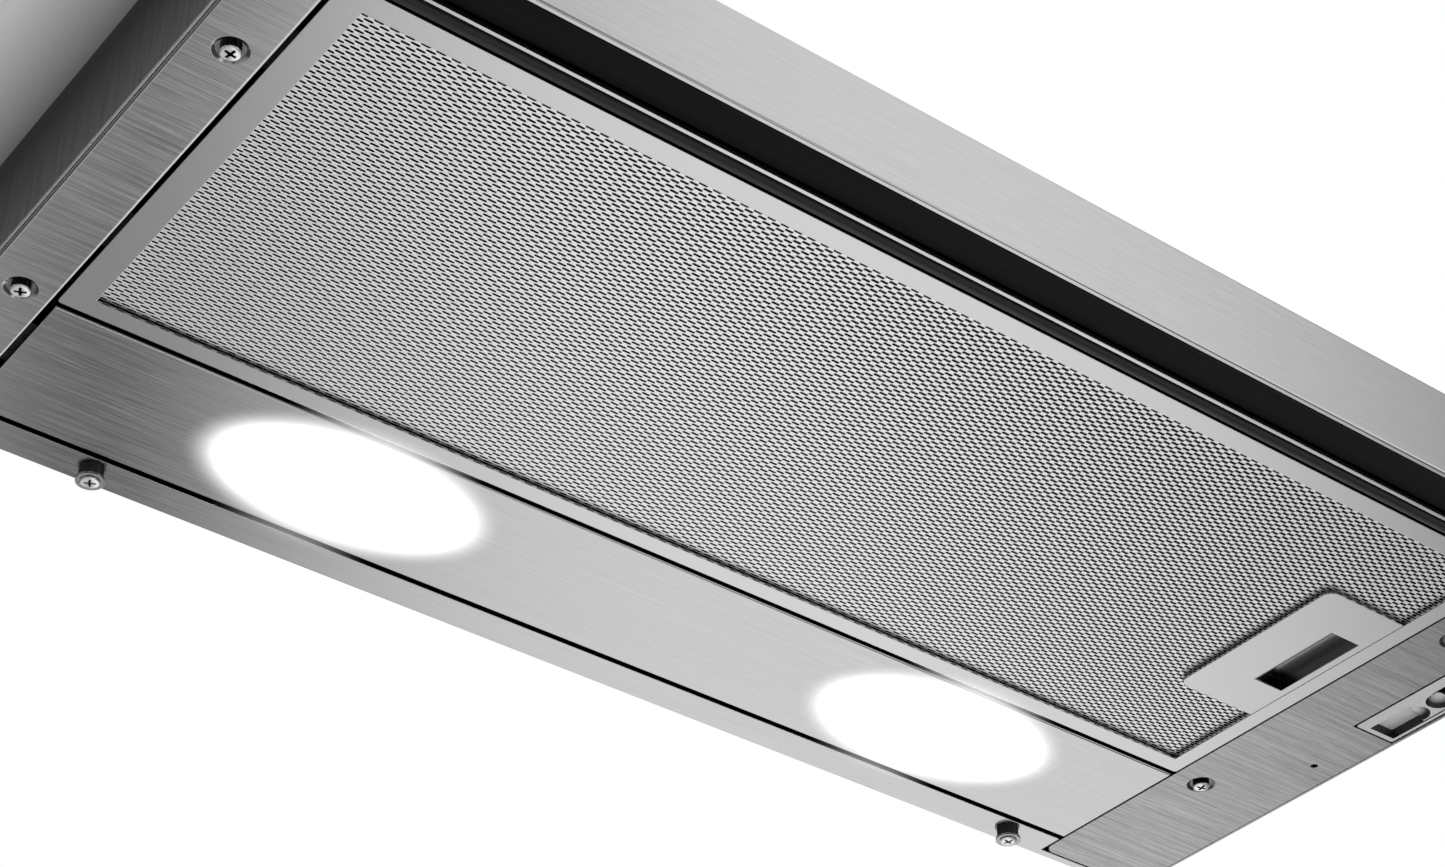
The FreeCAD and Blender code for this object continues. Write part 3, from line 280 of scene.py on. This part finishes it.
def side_shade(tree, colour, darkest, steep=-0.3, level_from=-0.93):
    """Paints shade into a colour on walls and flanks, and leaves what looks straight down."""
    facing = add(tree, "ShaderNodeTexCoord").outputs["Normal"]
    down = add(tree, "ShaderNodeSeparateXYZ", {0: facing}).outputs["Z"]
    level = ramp(tree, down, steep, level_from, darkest, 1.0)
    return add(tree, "ShaderNodeMix", {0: 1.0, 6: colour, 7: level},
               data_type="RGBA", blend_type="MULTIPLY").outputs[2]


def brushed_steel(name, along, dark, light, rough, streak, fold_shade_level=1.0):
    """Stainless sheet brushed with a belt: fine lines along one axis, and broad faint bands.

    The lines give the eye a direction: light spreads across them and they sparkle finely. With a last
    argument below 1, painted shade darkens dimples and folds.
    """
    material, tree, shader = new_material(name, Metallic=1.0)
    layers = []
    for across, length in ((0.22, 9.0), (0.55, 24.0), (1.5, 60.0)):
        size = [across, across, across]
        size[along] = length
        layers.append(grain(tree, size, 2.0, 0.6))
    fine, line, band = layers
    both = add(tree, "ShaderNodeMath", {0: fine, 1: line}, operation="ADD").outputs[0]
    every = add(tree, "ShaderNodeMath", {0: both, 1: band}, operation="ADD").outputs[0]
    colour = shade(tree, every, dark, light, 1.5 - streak, 1.5 + streak)
    # painted shade: dimples and folds 0.1 to 0.8 mm above the underside darken to the last argument's level
    fold_shaded = height_shade(tree, colour, 0.1, 0.8, fold_shade_level)
    tree.links.new(fold_shaded, shader.inputs["Base Color"])
    tree.links.new(ramp(tree, line, 0.3, 0.7, rough - 0.05, rough + 0.06), shader.inputs["Roughness"])
    tree.links.new(relief(tree, both, 0.0012, 0.35), shader.inputs["Normal"])
    return material, tree, shader, colour


LAMP_X = 139.5
LAMP_Y = -53.5
LENS_LENGTH = 100.0
LENS_WIDTH = 56.0
GLOW_FADE = 15.0                 # millimetres past the lens where the painted glow has faded
GLOW_SHIFT = 1.5                 # the painted glow sits this far from the lenses' middle, towards the wall


def painted_lamp_glow(tree, shader):
    """Painted light: emission on the sheet round the lenses stands in for the lamps' light grazing it,
    strongest beside the lens.
    """
    place = add(tree, "ShaderNodeTexCoord").outputs["Object"]
    parts = add(tree, "ShaderNodeSeparateXYZ", {0: place})
    centre = tray(LAMP_X, LAMP_Y + GLOW_SHIFT, 0)
    side = add(tree, "ShaderNodeMath", {0: parts.outputs["X"]}, operation="ABSOLUTE").outputs[0]
    x = add(tree, "ShaderNodeMath", {0: side, 1: centre.x}, operation="SUBTRACT").outputs[0]
    y = add(tree, "ShaderNodeMath", {0: parts.outputs["Y"], 1: centre.y}, operation="SUBTRACT").outputs[0]
    from_centre = add(tree, "ShaderNodeCombineXYZ", {0: x, 1: y}).outputs[0]
    half = (LENS_LENGTH / 2 * MM, LENS_WIDTH / 2 * MM, 1)
    in_lenses = add(tree, "ShaderNodeVectorMath", {0: from_centre, 1: half}, operation="DIVIDE").outputs[0]
    far = add(tree, "ShaderNodeVectorMath", {0: from_centre}, operation="LENGTH").outputs["Value"]
    q = add(tree, "ShaderNodeVectorMath", {0: in_lenses}, operation="LENGTH").outputs["Value"]
    rim = add(tree, "ShaderNodeMath", {0: far, 1: q}, operation="DIVIDE").outputs[0]
    past = add(tree, "ShaderNodeMath", {0: far, 1: rim}, operation="SUBTRACT").outputs[0]
    near = ramp(tree, past, 0.0, GLOW_FADE * MM, 1.0, 0.0)
    soft = add(tree, "ShaderNodeMath", {0: near, 1: 2.5}, operation="POWER").outputs[0]
    glow = add(tree, "ShaderNodeMath", {0: soft, 1: 1.1}, operation="MULTIPLY").outputs[0]
    shader.inputs["Emission Color"].default_value = (1, 1, 1, 1)
    tree.links.new(glow, shader.inputs["Emission Strength"])


def panel_steel():
    """Narrow left panel and the rail: the plain sheet."""
    return brushed_steel("brushed_stainless_steel", 0, "#C6C6C7", "#E0E0E1", 0.17, 0.5, 0.5)[0]


def control_panel_steel():
    """Right panel: a coarser belt left longer, stronger lines."""
    return brushed_steel("coarse_brushed_steel", 0, "#868687", "#C2C2C3", 0.18, 0.45, 0.45)[0]


def lamp_panel_steel():
    """The same brushed sheet beside the lamps, with their light painted on it as a glow."""
    name = "brushed_steel_by_lamps"
    material, tree, shader, _ = brushed_steel(name, 0, "#C4C4C5", "#D4D4D5", 0.15, 0.6, 0.45)
    # painted glow of the lamps on the sheet
    painted_lamp_glow(tree, shader)
    return material


def wall_steel():
    """Side walls: the same sheet with its grain upright, as cut from the coil's width; painted shade darkens
    it towards the top.
    """
    name = "upright_brushed_steel"
    material, tree, shader, colour = brushed_steel(name, 2, "#A8A8A9", "#CECECF", 0.28, 0.5)
    # painted shade: darker towards the top edge, up to 38 mm above the underside
    shaded = height_shade(tree, colour, 0.0, 38.0, 0.12)
    tree.links.new(shaded, shader.inputs["Base Color"])
    return material


def fascia_steel():
    """Fascia: finer grain, the best sheet of the hood."""
    return brushed_steel("fine_brushed_steel", 0, "#CACACB", "#D8D8D9", 0.19, 0.6)[0]


def satin_aluminium():
    """Anodised aluminium frame: an even silk sheen with hardly any grain, with painted shade on its inner
    walls and a painted glow of the lamps.
    """
    material, tree, shader = new_material("anodised_aluminium", Metallic=1.0)
    fine = grain(tree, (0.5, 0.35, 0.5), 4.0)
    colour = shade(tree, fine, "#D4D4D5", "#DBDBDC")
    # painted shade: walls facing the front darken 0.2 to 1.2 mm above the underside, in the filter's recess
    shaded = height_shade(tree, colour, 0.2, 1.2, 0.02, (0, -1, 0))
    tree.links.new(shaded, shader.inputs["Base Color"])
    tree.links.new(ramp(tree, fine, 0.3, 0.7, 0.19, 0.23), shader.inputs["Roughness"])
    tree.links.new(relief(tree, fine, 0.002, 0.3), shader.inputs["Normal"])
    # painted glow of the lamps on the frame
    painted_lamp_glow(tree, shader)
    return material


def expanded_aluminium():
    """Expanded aluminium sheet: bright matt strands, slightly uneven where the tool has drawn them."""
    material, tree, shader = new_material("expanded_aluminium_sheet", Metallic=0.8)
    fine = grain(tree, (1.2, 0.5, 0.5), 3.0)
    tree.links.new(shade(tree, fine, "#EEEEEF", "#F8F8F9"), shader.inputs["Base Color"])
    tree.links.new(ramp(tree, fine, 0.3, 0.7, 0.22, 0.3), shader.inputs["Roughness"])
    return material


def filter_core():
    """Knitted aluminium wad between the filter's faces, coloured nearly black as painted shade in the depth
    of the slots.
    """
    material, tree, shader = new_material("knitted_filter_wad", Metallic=0.9, Roughness=0.7)
    fine = grain(tree, (0.8, 0.8, 0.8), 5.0)
    # painted shade: the wad's near-black colour stands in for the shade deep in the slots
    tree.links.new(shade(tree, fine, "#020202", "#0A0A0A"), shader.inputs["Base Color"])
    return material


def visor_band_painted_shade():
    """Visor sheet under the fascia, coloured near black as painted shade of the slot behind it: faint long
    brushed streaks.
    """
    material, tree, shader = new_material("dark_coated_steel")
    shader.inputs["Specular IOR Level"].default_value = 0.06
    fine = grain(tree, (40.0, 0.5, 0.5), 4.0, 0.6)
    # painted shade: the near-black colour stands in for the shade in the slot behind the fascia
    tree.links.new(shade(tree, fine, "#070708", "#171718"), shader.inputs["Base Color"])
    tree.links.new(ramp(tree, fine, 0.3, 0.7, 0.34, 0.5), shader.inputs["Roughness"])
    tree.links.new(relief(tree, fine, 0.006, 0.3), shader.inputs["Normal"])
    return material


def seal_rubber():
    """Extruded EPDM rubber: near black with a soft wide highlight."""
    material, tree, shader = new_material("extruded_rubber", Metallic=0.0)
    fine = grain(tree, (6.0, 0.6, 0.6), 4.0)
    tree.links.new(shade(tree, fine, "#141414", "#1E1E1E"), shader.inputs["Base Color"])
    tree.links.new(ramp(tree, fine, 0.3, 0.7, 0.42, 0.55), shader.inputs["Roughness"])
    return material


def galvanised_sheet():
    """Hot-dip galvanised steel: grey with large soft spangles."""
    material, tree, shader = new_material("galvanised_steel", Metallic=1.0)
    place = add(tree, "ShaderNodeTexCoord").outputs["Object"]
    warp = grain(tree, (14.0, 14.0, 14.0), 2.0)
    moved = add(tree, "ShaderNodeVectorMath", {0: place, 1: (0.0, 0.0, 0.0)}, operation="ADD")
    spread = add(tree, "ShaderNodeVectorMath", {0: moved.outputs[0], 3: 1 / (9 * MM)}, operation="SCALE")
    shifted = add(tree, "ShaderNodeVectorMath", {0: spread.outputs[0], 1: warp}, operation="ADD")
    spangle = add(tree, "ShaderNodeTexVoronoi", {"Vector": shifted.outputs[0], "Scale": 1.0})
    tone = add(tree, "ShaderNodeSeparateXYZ", {0: spangle.outputs["Color"]}).outputs[0]
    tree.links.new(shade(tree, tone, "#8D9093", "#B4B7BA", 0.0, 1.0), shader.inputs["Base Color"])
    tree.links.new(ramp(tree, tone, 0.0, 1.0, 0.38, 0.55), shader.inputs["Roughness"])
    tree.links.new(relief(tree, tone, 0.01, 0.3), shader.inputs["Normal"])
    return material


def painted_sheet():
    """Light powder-coated sheet of the side plates, dim low down where the tray shades it."""
    material, tree, shader = new_material("light_powder_coat", Roughness=0.6)
    fine = grain(tree, (1.4, 1.4, 1.4), 4.0)
    colour = shade(tree, fine, "#F4F4F4", "#FCFCFC")
    shaded = height_shade(tree, colour, 146.0, 46.0, 0.13)
    tree.links.new(shaded, shader.inputs["Base Color"])
    tree.links.new(relief(tree, fine, 0.01, 0.3), shader.inputs["Normal"])
    return material


def opal_lit():
    """Opal acrylic lit from behind: an even white glow."""
    material, tree, shader = new_material("lit_opal_acrylic", Roughness=0.35)
    fine = grain(tree, (30.0, 30.0, 30.0), 2.0)
    tree.links.new(shade(tree, fine, "#F2F2F0", "#FFFFFF"), shader.inputs["Base Color"])
    shader.inputs["Emission Color"].default_value = (1, 1, 1, 1)
    tree.links.new(ramp(tree, fine, 0.3, 0.7, 2.6, 3.0), shader.inputs["Emission Strength"])
    return material


def moulded(name, dark, light, rough, edge=0.3):
    """Injection-moulded plastic with a fine spark-eroded texture."""
    material, tree, shader = new_material(name)
    fine = grain(tree, (0.5, 0.5, 0.5), 4.0)
    tree.links.new(shade(tree, fine, dark, light), shader.inputs["Base Color"])
    tree.links.new(ramp(tree, fine, 0.3, 0.7, rough - 0.05, rough + 0.08), shader.inputs["Roughness"])
    tree.links.new(relief(tree, fine, 0.01, edge), shader.inputs["Normal"])
    return material


def plated(name, dark, light, rough):
    """Plated or turned metal: bright, with faint marks of handling."""
    material, tree, shader = new_material(name, Metallic=1.0)
    fine = grain(tree, (0.9, 0.9, 0.9), 4.0)
    tree.links.new(shade(tree, fine, dark, light), shader.inputs["Base Color"])
    tree.links.new(ramp(tree, fine, 0.3, 0.7, rough - 0.04, rough + 0.08), shader.inputs["Roughness"])
    tree.links.new(relief(tree, fine, 0.002, 0.2), shader.inputs["Normal"])
    return material


def chromed_screw():
    """Bright chrome with painted shade: its upright wall goes dark, and its cross recess is painted black.
    """
    material, tree, shader = new_material("chromed_steel", Metallic=0.75)
    fine = grain(tree, (0.9, 0.9, 0.9), 4.0)
    # painted shade: the upright wall and flanks darken by facing
    colour = side_shade(tree, shade(tree, fine, "#E4E4E6", "#FBFBFC"), 0.012)
    # painted shade: the cross recess is coloured near black
    recess = add(tree, "ShaderNodeAttribute", attribute_name="recess").outputs["Fac"]
    cross = add(tree, "ShaderNodeMix", {0: ramp(tree, recess, 0.25, 0.7), 6: colour,
                                        7: srgb("#050505")}, data_type="RGBA").outputs[2]
    tree.links.new(cross, shader.inputs["Base Color"])
    tree.links.new(ramp(tree, fine, 0.3, 0.7, 0.14, 0.24), shader.inputs["Roughness"])
    return material


def switch_plastic():
    """Satin grey plastic of the switches: light faces, with painted shade that darkens scoops and tracks."""
    material, tree, shader = new_material("grey_switch_plastic")
    fine = grain(tree, (0.5, 0.5, 0.5), 4.0)
    colour = shade(tree, fine, "#B4B4B5", "#C0C0C1")
    # painted shade: steep scoops, walls and tracks darken by facing
    tree.links.new(side_shade(tree, colour, 0.02, -0.8, -0.995), shader.inputs["Base Color"])
    tree.links.new(ramp(tree, fine, 0.3, 0.7, 0.34, 0.46), shader.inputs["Roughness"])
    tree.links.new(relief(tree, fine, 0.006, 0.25), shader.inputs["Normal"])
    return material


POCKET_LEFT = 228.0              # left side of the latch handle's finger pocket
POCKET_FADE = 6.0                # how far the painted shade fades in across its curved lip


def handle_aluminium(frame_finish):
    """The frame's aluminium, with painted shade down the curved lip of the finger pocket."""
    material = frame_finish.copy()
    material.name = "anodised_aluminium_pocket"
    tree = material.node_tree
    shader = next(n for n in tree.nodes if n.type == "BSDF_PRINCIPLED")
    colour = shader.inputs["Base Color"].links[0].from_socket
    place = add(tree, "ShaderNodeTexCoord").outputs["Object"]
    parts = add(tree, "ShaderNodeSeparateXYZ", {0: place})
    left = tray(POCKET_LEFT, 0, 0).x
    # painted shade: deeper than 0.3 to 0.6 mm, the pocket darkens across its lip from the left side
    across = ramp(tree, parts.outputs["X"], left, left + POCKET_FADE * MM, 0.7, 0.015)
    deep = ramp(tree, parts.outputs["Z"], tray(0, 0, 0.3).z, tray(0, 0, 0.6).z)
    pocket_shade = add(tree, "ShaderNodeMix", {0: deep, 6: (1, 1, 1, 1), 7: across}, data_type="RGBA").outputs[2]
    both = add(tree, "ShaderNodeMix", {0: 1.0, 6: colour, 7: pocket_shade},
               data_type="RGBA", blend_type="MULTIPLY").outputs[2]
    tree.links.new(both, shader.inputs["Base Color"])
    return material


# ---------------------------------------------------------------- mesh helpers
def finish_mesh(name, mesh, material, body, replaced, smooth=True):
    """Makes a mesh a piece that rides on a body and stands for its CAD nodes."""
    if smooth:
        mesh.polygons.foreach_set("use_smooth", [True] * len(mesh.polygons))
        mesh.set_sharp_from_angle(angle=math.radians(32))
    mesh.materials.clear()
    mesh.materials.append(material)
    piece = bpy.data.objects.new(name, mesh)
    SCENE.collection.objects.link(piece)
    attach(piece, body)
    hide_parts(*replaced)
    return piece


def geometry_tree(name, sizes):
    """An empty Geometry Nodes tree with named number inputs; returns it with its two ends."""
    tree = bpy.data.node_groups.new(name, "GeometryNodeTree")
    face = tree.interface
    face.new_socket("Geometry", in_out="INPUT", socket_type="NodeSocketGeometry")
    face.new_socket("Geometry", in_out="OUTPUT", socket_type="NodeSocketGeometry")
    for label, kind in sizes:
        face.new_socket(label, in_out="INPUT", socket_type=kind)
    source = tree.nodes.new("NodeGroupInput")
    sink = tree.nodes.new("NodeGroupOutput")
    return tree, source.outputs, sink.inputs


def grown_mesh(name, tree, start_mesh, values):
    """Runs a tree on a mesh with its inputs set, and returns the result as a plain mesh."""
    carrier = bpy.data.objects.new(name + "_carrier", start_mesh)
    SCENE.collection.objects.link(carrier)
    modifier = carrier.modifiers.new("grow", "NODES")
    modifier.node_group = tree
    for item in tree.interface.items_tree:
        if item.in_out == "INPUT" and item.name in values:
            modifier[item.identifier] = values[item.name]
    bpy.context.view_layer.update()
    seen = carrier.evaluated_get(bpy.context.evaluated_depsgraph_get())
    mesh = bpy.data.meshes.new_from_object(seen)
    mesh.name = name
    carrier.modifiers.remove(modifier)
    bpy.data.objects.remove(carrier)
    return mesh


def points_mesh(name, points):
    """Loose points for a tree to build on."""
    mesh = bpy.data.meshes.new(name)
    mesh.from_pydata([tuple(p) for p in points], [], [])
    return mesh


# ---------------------------------------------------------------- expanded-metal filter face
MESH_PITCH_X = 5.48              # slot to slot along a row
MESH_PITCH_Y = 1.379             # row to row
SLOT_LENGTH = 3.6
SLOT_HEIGHT = 0.98
STRAND_TWIST = 0.03              # how far a slot's two lips stand out of the sheet


def mesh_cell(pitch_x, pitch_y, slot_x, slot_y, twist, thick):
    """One brick of expanded metal around a slot: front, back and the slot's wall."""
    px, py = pitch_x / 2, pitch_y / 2
    sx, sy = slot_x / 2, slot_y / 2
    border = [(-px, -py), (0, -py), (px, -py), (px, py), (0, py), (-px, py)]
    slot = [(-sx * 0.74, -sy, -twist), (sx * 0.74, -sy, -twist), (sx, 0, 0),
            (sx * 0.74, sy, twist), (-sx * 0.74, sy, twist), (-sx, 0, 0)]
    front = [(x, y, 0) for x, y in border] + slot
    points = front + [(x, y, z + thick) for x, y, z in front]
    faces = []
    # the border's six points and the slot's six points are joined in pairs around the slot
    ring = [(0, 1, 6), (1, 7, 6), (1, 2, 8, 7), (2, 3, 8), (3, 4, 9, 8), (4, 10, 9),
            (4, 5, 10), (5, 11, 10), (5, 0, 11), (0, 6, 11)]
    for face in ring:
        faces.append(tuple(reversed(face)))
        faces.append(tuple(i + 12 for i in face))
    for i in range(6):
        a, b = 6 + i, 6 + (i + 1) % 6
        faces.append((a, b, b + 12, a + 12))
    mesh = bpy.data.meshes.new("mesh_cell")
    mesh.from_pydata([Vector(p) * MM for p in points], [], faces)
    return mesh


def mesh_tree(material):
    """Tree that sets a cell on each point, joins neighbours and gives the sheet its finish."""
    tree, given, result = geometry_tree("expanded_sheet", [
        ("Cell", "NodeSocketObject"), ("Join Distance", "NodeSocketFloat")])
    cell = add(tree, "GeometryNodeObjectInfo", {"Object": given["Cell"], "As Instance": True})
    points = add(tree, "GeometryNodeMeshToPoints", {"Mesh": given["Geometry"]})
    cells = add(tree, "GeometryNodeInstanceOnPoints", {
        "Points": points.outputs[0], "Instance": cell.outputs["Geometry"]})
    real = add(tree, "GeometryNodeRealizeInstances", {0: cells.outputs[0]})
    joined = add(tree, "GeometryNodeMergeByDistance", {
        "Geometry": real.outputs[0], "Distance": given["Join Distance"]})
    finished = add(tree, "GeometryNodeSetMaterial", {
        "Geometry": joined.outputs[0], "Material": material})
    tree.links.new(finished.outputs[0], result["Geometry"])
    return tree


def slot_rows(node, pitch_x, pitch_y, z):
    """Cell centres over the sheet of a CAD mesh layer, every second row shifted by half a pitch."""
    low, high = tray_box(node)
    handle_low, handle_high = tray_box("latch_handle")
    room_x = tray_box("latch_tongue")[0].x - 14.4 - 6.0
    room_low = handle_low.y + 17.5
    room_high = handle_high.y - 17.5
    rows = int((high.y - low.y - pitch_y) / pitch_y)
    first_y = (low.y + high.y) / 2 - (rows - 1) * pitch_y / 2
    points = []
    for row in range(rows):
        y = first_y + row * pitch_y
        x = low.x + pitch_x * (1.0 if row % 2 else 0.5) + 0.1
        while x + pitch_x / 2 < high.x:
            if not (x + pitch_x / 2 > room_x and room_low < y < room_high):
                points.append(tray(x, y, z))
            x += pitch_x
    return points


def filter_face(material):
    """The visible face of the filter in three strips, so that no piece grows too heavy."""
    thick = 0.06
    cell = bpy.data.objects.new("mesh_cell", mesh_cell(
        MESH_PITCH_X, MESH_PITCH_Y, SLOT_LENGTH, SLOT_HEIGHT, STRAND_TWIST, thick))
    SCENE.collection.objects.link(cell)
    tree = mesh_tree(material)
    low, _ = tray_box("filter_mesh_face")
    points = slot_rows("filter_mesh_face", MESH_PITCH_X, MESH_PITCH_Y, low.z + STRAND_TWIST)
    xs = sorted(p.x for p in points)
    cuts = [xs[0] - 1, xs[len(xs) // 3], xs[2 * len(xs) // 3], xs[-1] + 1]
    for number in range(3):
        strip = [p for p in points if cuts[number] <= p.x < cuts[number + 1]]
        mesh = grown_mesh(f"filter_face_{number + 1}", tree, points_mesh("slots", strip),
                          {"Cell": cell, "Join Distance": 0.02 * MM})
        finish_mesh(f"filter_face_{number + 1}", mesh, material, "grease_filter",
                    ["filter_mesh_face"], smooth=False)
    bpy.data.objects.remove(cell)


# ---------------------------------------------------------------- screws
SCREW_RINGS = 22
SCREW_SIDES = 72


def screw_head(radius, height, wall):
    """Cheese head seen from below: an upright wall, a low dome and a cross recess."""
    mesh = bpy.data.meshes.new("screw_head")
    b = bmesh.new()
    arm, reach, depth = 0.36, radius * 0.58, height * 0.6
    recess_layer = b.verts.layers.float.new("recess")

    def drop(x, y):
        """Height of the dome's surface below the seat."""
        r = math.hypot(x, y) / radius
        dome = wall + (height - wall) * math.sqrt(max(0.0, 1 - r ** 2.2))
        u, v = abs(x), abs(y)
        near = min(max(u - reach, v - arm), max(v - reach, u - arm))
        cut = min(1.0, max(0.0, -near / 0.22 + 0.5))
        return dome - depth * cut * max(0.35, 1 - 0.5 * max(u, v) / reach), cut

    rings = []
    for i in range(1, SCREW_RINGS + 1):
        r = radius * i / SCREW_RINGS
        ring = []
        for k in range(SCREW_SIDES):
            a = 2 * math.pi * k / SCREW_SIDES
            x, y = r * math.cos(a), r * math.sin(a)
            below, cut = drop(x, y)
            vert = b.verts.new((x * MM, y * MM, -below * MM))
            vert[recess_layer] = cut
            ring.append(vert)
        rings.append(ring)
    seat = [b.verts.new((v.co.x, v.co.y, 0)) for v in rings[-1]]
    rings.append(seat)
    middle = b.verts.new((0, 0, -drop(0, 0)[0] * MM))
    middle[recess_layer] = 1.0
    for k in range(SCREW_SIDES):
        b.faces.new((middle, rings[0][(k + 1) % SCREW_SIDES], rings[0][k]))
        for inner, outer in zip(rings, rings[1:]):
            n = (k + 1) % SCREW_SIDES
            b.faces.new((inner[k], inner[n], outer[n], outer[k]))
    b.faces.new(seat)
    bmesh.ops.recalc_face_normals(b, faces=b.faces)
    b.to_mesh(mesh)
    b.free()
    return mesh


def screws_tree(material):
    """Tree that sets a screw on each point and turns each head by its own angle."""
    tree, given, result = geometry_tree("screw_set", [
        ("Screw", "NodeSocketObject"), ("Seed", "NodeSocketInt")])
    screw = add(tree, "GeometryNodeObjectInfo", {"Object": given["Screw"], "As Instance": True})
    points = add(tree, "GeometryNodeMeshToPoints", {"Mesh": given["Geometry"]})
    turn = add(tree, "FunctionNodeRandomValue", {"Seed": given["Seed"]}, data_type="FLOAT")
    turn.inputs[2].default_value = 0.0
    turn.inputs[3].default_value = math.pi / 2
    spin = add(tree, "ShaderNodeCombineXYZ", {"Z": turn.outputs[1]})
    heads = add(tree, "GeometryNodeInstanceOnPoints", {
        "Points": points.outputs[0], "Instance": screw.outputs["Geometry"],
        "Rotation": spin.outputs[0]})
    real = add(tree, "GeometryNodeRealizeInstances", {0: heads.outputs[0]})
    finished = add(tree, "GeometryNodeSetMaterial", {
        "Geometry": real.outputs[0], "Material": material})
    tree.links.new(finished.outputs[0], result["Geometry"])
    return tree


def screws(name, material, places, radius, height, wall, replaced):
    """A set of equal screws under the tray."""
    screw = bpy.data.objects.new("screw", screw_head(radius, height, wall))
    SCENE.collection.objects.link(screw)
    mesh = grown_mesh(name, screws_tree(material), points_mesh("seats", places),
                      {"Screw": screw, "Seed": 4})
    bpy.data.objects.remove(screw)
    finish_mesh(name, mesh, material, "hood_body", [replaced])


# ---------------------------------------------------------------- lamp lenses
def lens(name, node, material):
    """Opal cover: a shallow crowned oval with a pry notch at its left end."""
    low, high = tray_box(node)
    side = -1 if low.x < 0 else 1
    cx, cy = side * LAMP_X, LAMP_Y
    drop = -low.z
    notch_x, notch_r = cx - LENS_LENGTH / 2 - 1, 4.5
    b = bmesh.new()
    sides, rings = 160, 40
    grid = []
    for i in range(1, rings + 1):
        q = math.sin(math.pi / 2 * i / rings)
        ring = []
        for k in range(sides):
            a = 2 * math.pi * k / sides
            x = cx + q * math.cos(a) * LENS_LENGTH / 2
            y = cy + q * math.sin(a) * LENS_WIDTH / 2
            z = -drop * max(0.0, 1 - q ** 10) ** 0.5
            inside = notch_r - math.hypot(x - notch_x, y - cy)
            if inside > 0:
                z += (0.4 - z) * min(1.0, inside / 0.5)
            ring.append(b.verts.new(tray(x, y, z)))
        grid.append(ring)
    top = [b.verts.new((v.co.x, v.co.y, tray(0, 0, 1.0).z)) for v in grid[-1]]
    grid.append(top)
    middle = b.verts.new(tray(cx, cy, -drop))
    for k in range(sides):
        n = (k + 1) % sides
        b.faces.new((middle, grid[0][n], grid[0][k]))
        for inner, outer in zip(grid, grid[1:]):
            b.faces.new((inner[k], inner[n], outer[n], outer[k]))
    b.faces.new(top)
    bmesh.ops.recalc_face_normals(b, faces=b.faces)
    mesh = bpy.data.meshes.new(name)
    b.to_mesh(mesh)
    b.free()
    return finish_mesh(name, mesh, material, "hood_body", [node])


# ---------------------------------------------------------------- build
make_camera()
studio_world()
studio_lamps()
studio_floor()

steel = panel_steel()
right_steel = control_panel_steel()
lamp_steel = lamp_panel_steel()
aluminium = satin_aluminium()
mesh_metal = expanded_aluminium()
core = filter_core()
screw_chrome = chromed_screw()
zinc = plated("zinc_plated_steel", "#A6A8AA", "#C9CBCD", 0.3)
bronze = plated("sintered_bronze", "#8A6A3C", "#A98350", 0.4)
motor_paint = plated("cast_motor_case", "#8E9092", "#A9ABAD", 0.42)
galvanised = galvanised_sheet()
black = moulded("black_polypropylene", "#161617", "#222223", 0.42)
white = moulded("white_polyamide", "#D9D9D6", "#E9E9E6", 0.4)
grey = switch_plastic()
opal = opal_lit()

FINISHES = {
    steel: ("left_panel", "front_cross_rail"),
    right_steel: ("control_panel",),
    lamp_steel: ("lamp_panel", "rear_wall"),
    wall_steel(): ("side_wall_left", "side_wall_right"),
    fascia_steel(): ("visor_fascia",),
    aluminium: ("filter_frame",),
    handle_aluminium(aluminium): ("latch_handle",),
    core: ("filter_mesh_core",),
    mesh_metal: ("filter_mesh_back",),
    visor_band_painted_shade(): ("visor_pan",),
    painted_sheet(): ("side_plate_left", "side_plate_right"),
    seal_rubber(): ("front_seal_bar",),
    galvanised: ("top_deck", "housing_shell", "housing_end_left", "housing_end_right",
                 "fascia_stiffener", "scroll_wrapper", "scroll_sides", "motor_bracket",
                 "panel_brackets"),
    zinc: ("slide_rails", "visor_runners", "latch_tongue", "latch_springs", "rear_washers",
           "impeller_shaft", "damper_pin"),
    black: ("rear_spacers", "filter_hinge_tabs", "light_switch", "fan_switch", "terminal_box", "cable_gland",
            "outlet_collar", "damper_flap_left", "damper_flap_right", "impeller"),
    white: ("lamp_holder_left", "lamp_holder_right", "led_driver", "led_boards", "visor_glides"),
    grey: ("switch_bezel", "light_slider", "fan_slider"),
    motor_paint: ("motor_body", "run_capacitor"),
    bronze: ("motor_bearings",),
}
for finish, names in FINISHES.items():
    for name in names:
        for material_slot in NODES[name].material_slots:
            material_slot.material = finish

filter_face(mesh_metal)
lens("opal_lens_left", "lamp_lens_left", opal)
lens("opal_lens_right", "lamp_lens_right", opal)

PANEL_SCREW_Y = (-85.9, -225.6)
LEFT_SCREW_X, RIGHT_SCREW_X = -284.0, 258.4
REAR_SCREW_X = (-217.0, 221.0)
REAR_SCREW_Y = -6.0
panel_seats = [tray(x, y, 0.8) for x in (LEFT_SCREW_X, RIGHT_SCREW_X) for y in PANEL_SCREW_Y]
screws("panel_screw_set", screw_chrome, panel_seats, 3.45, 2.5, 1.9, "panel_screws")
rear_seats = [tray(x, REAR_SCREW_Y, -3.6) for x in REAR_SCREW_X]
screws("rear_screw_set", screw_chrome, rear_seats, 3.65, 0.9, 0.3, "rear_screws")

SCENE.view_settings.view_transform = "Standard"
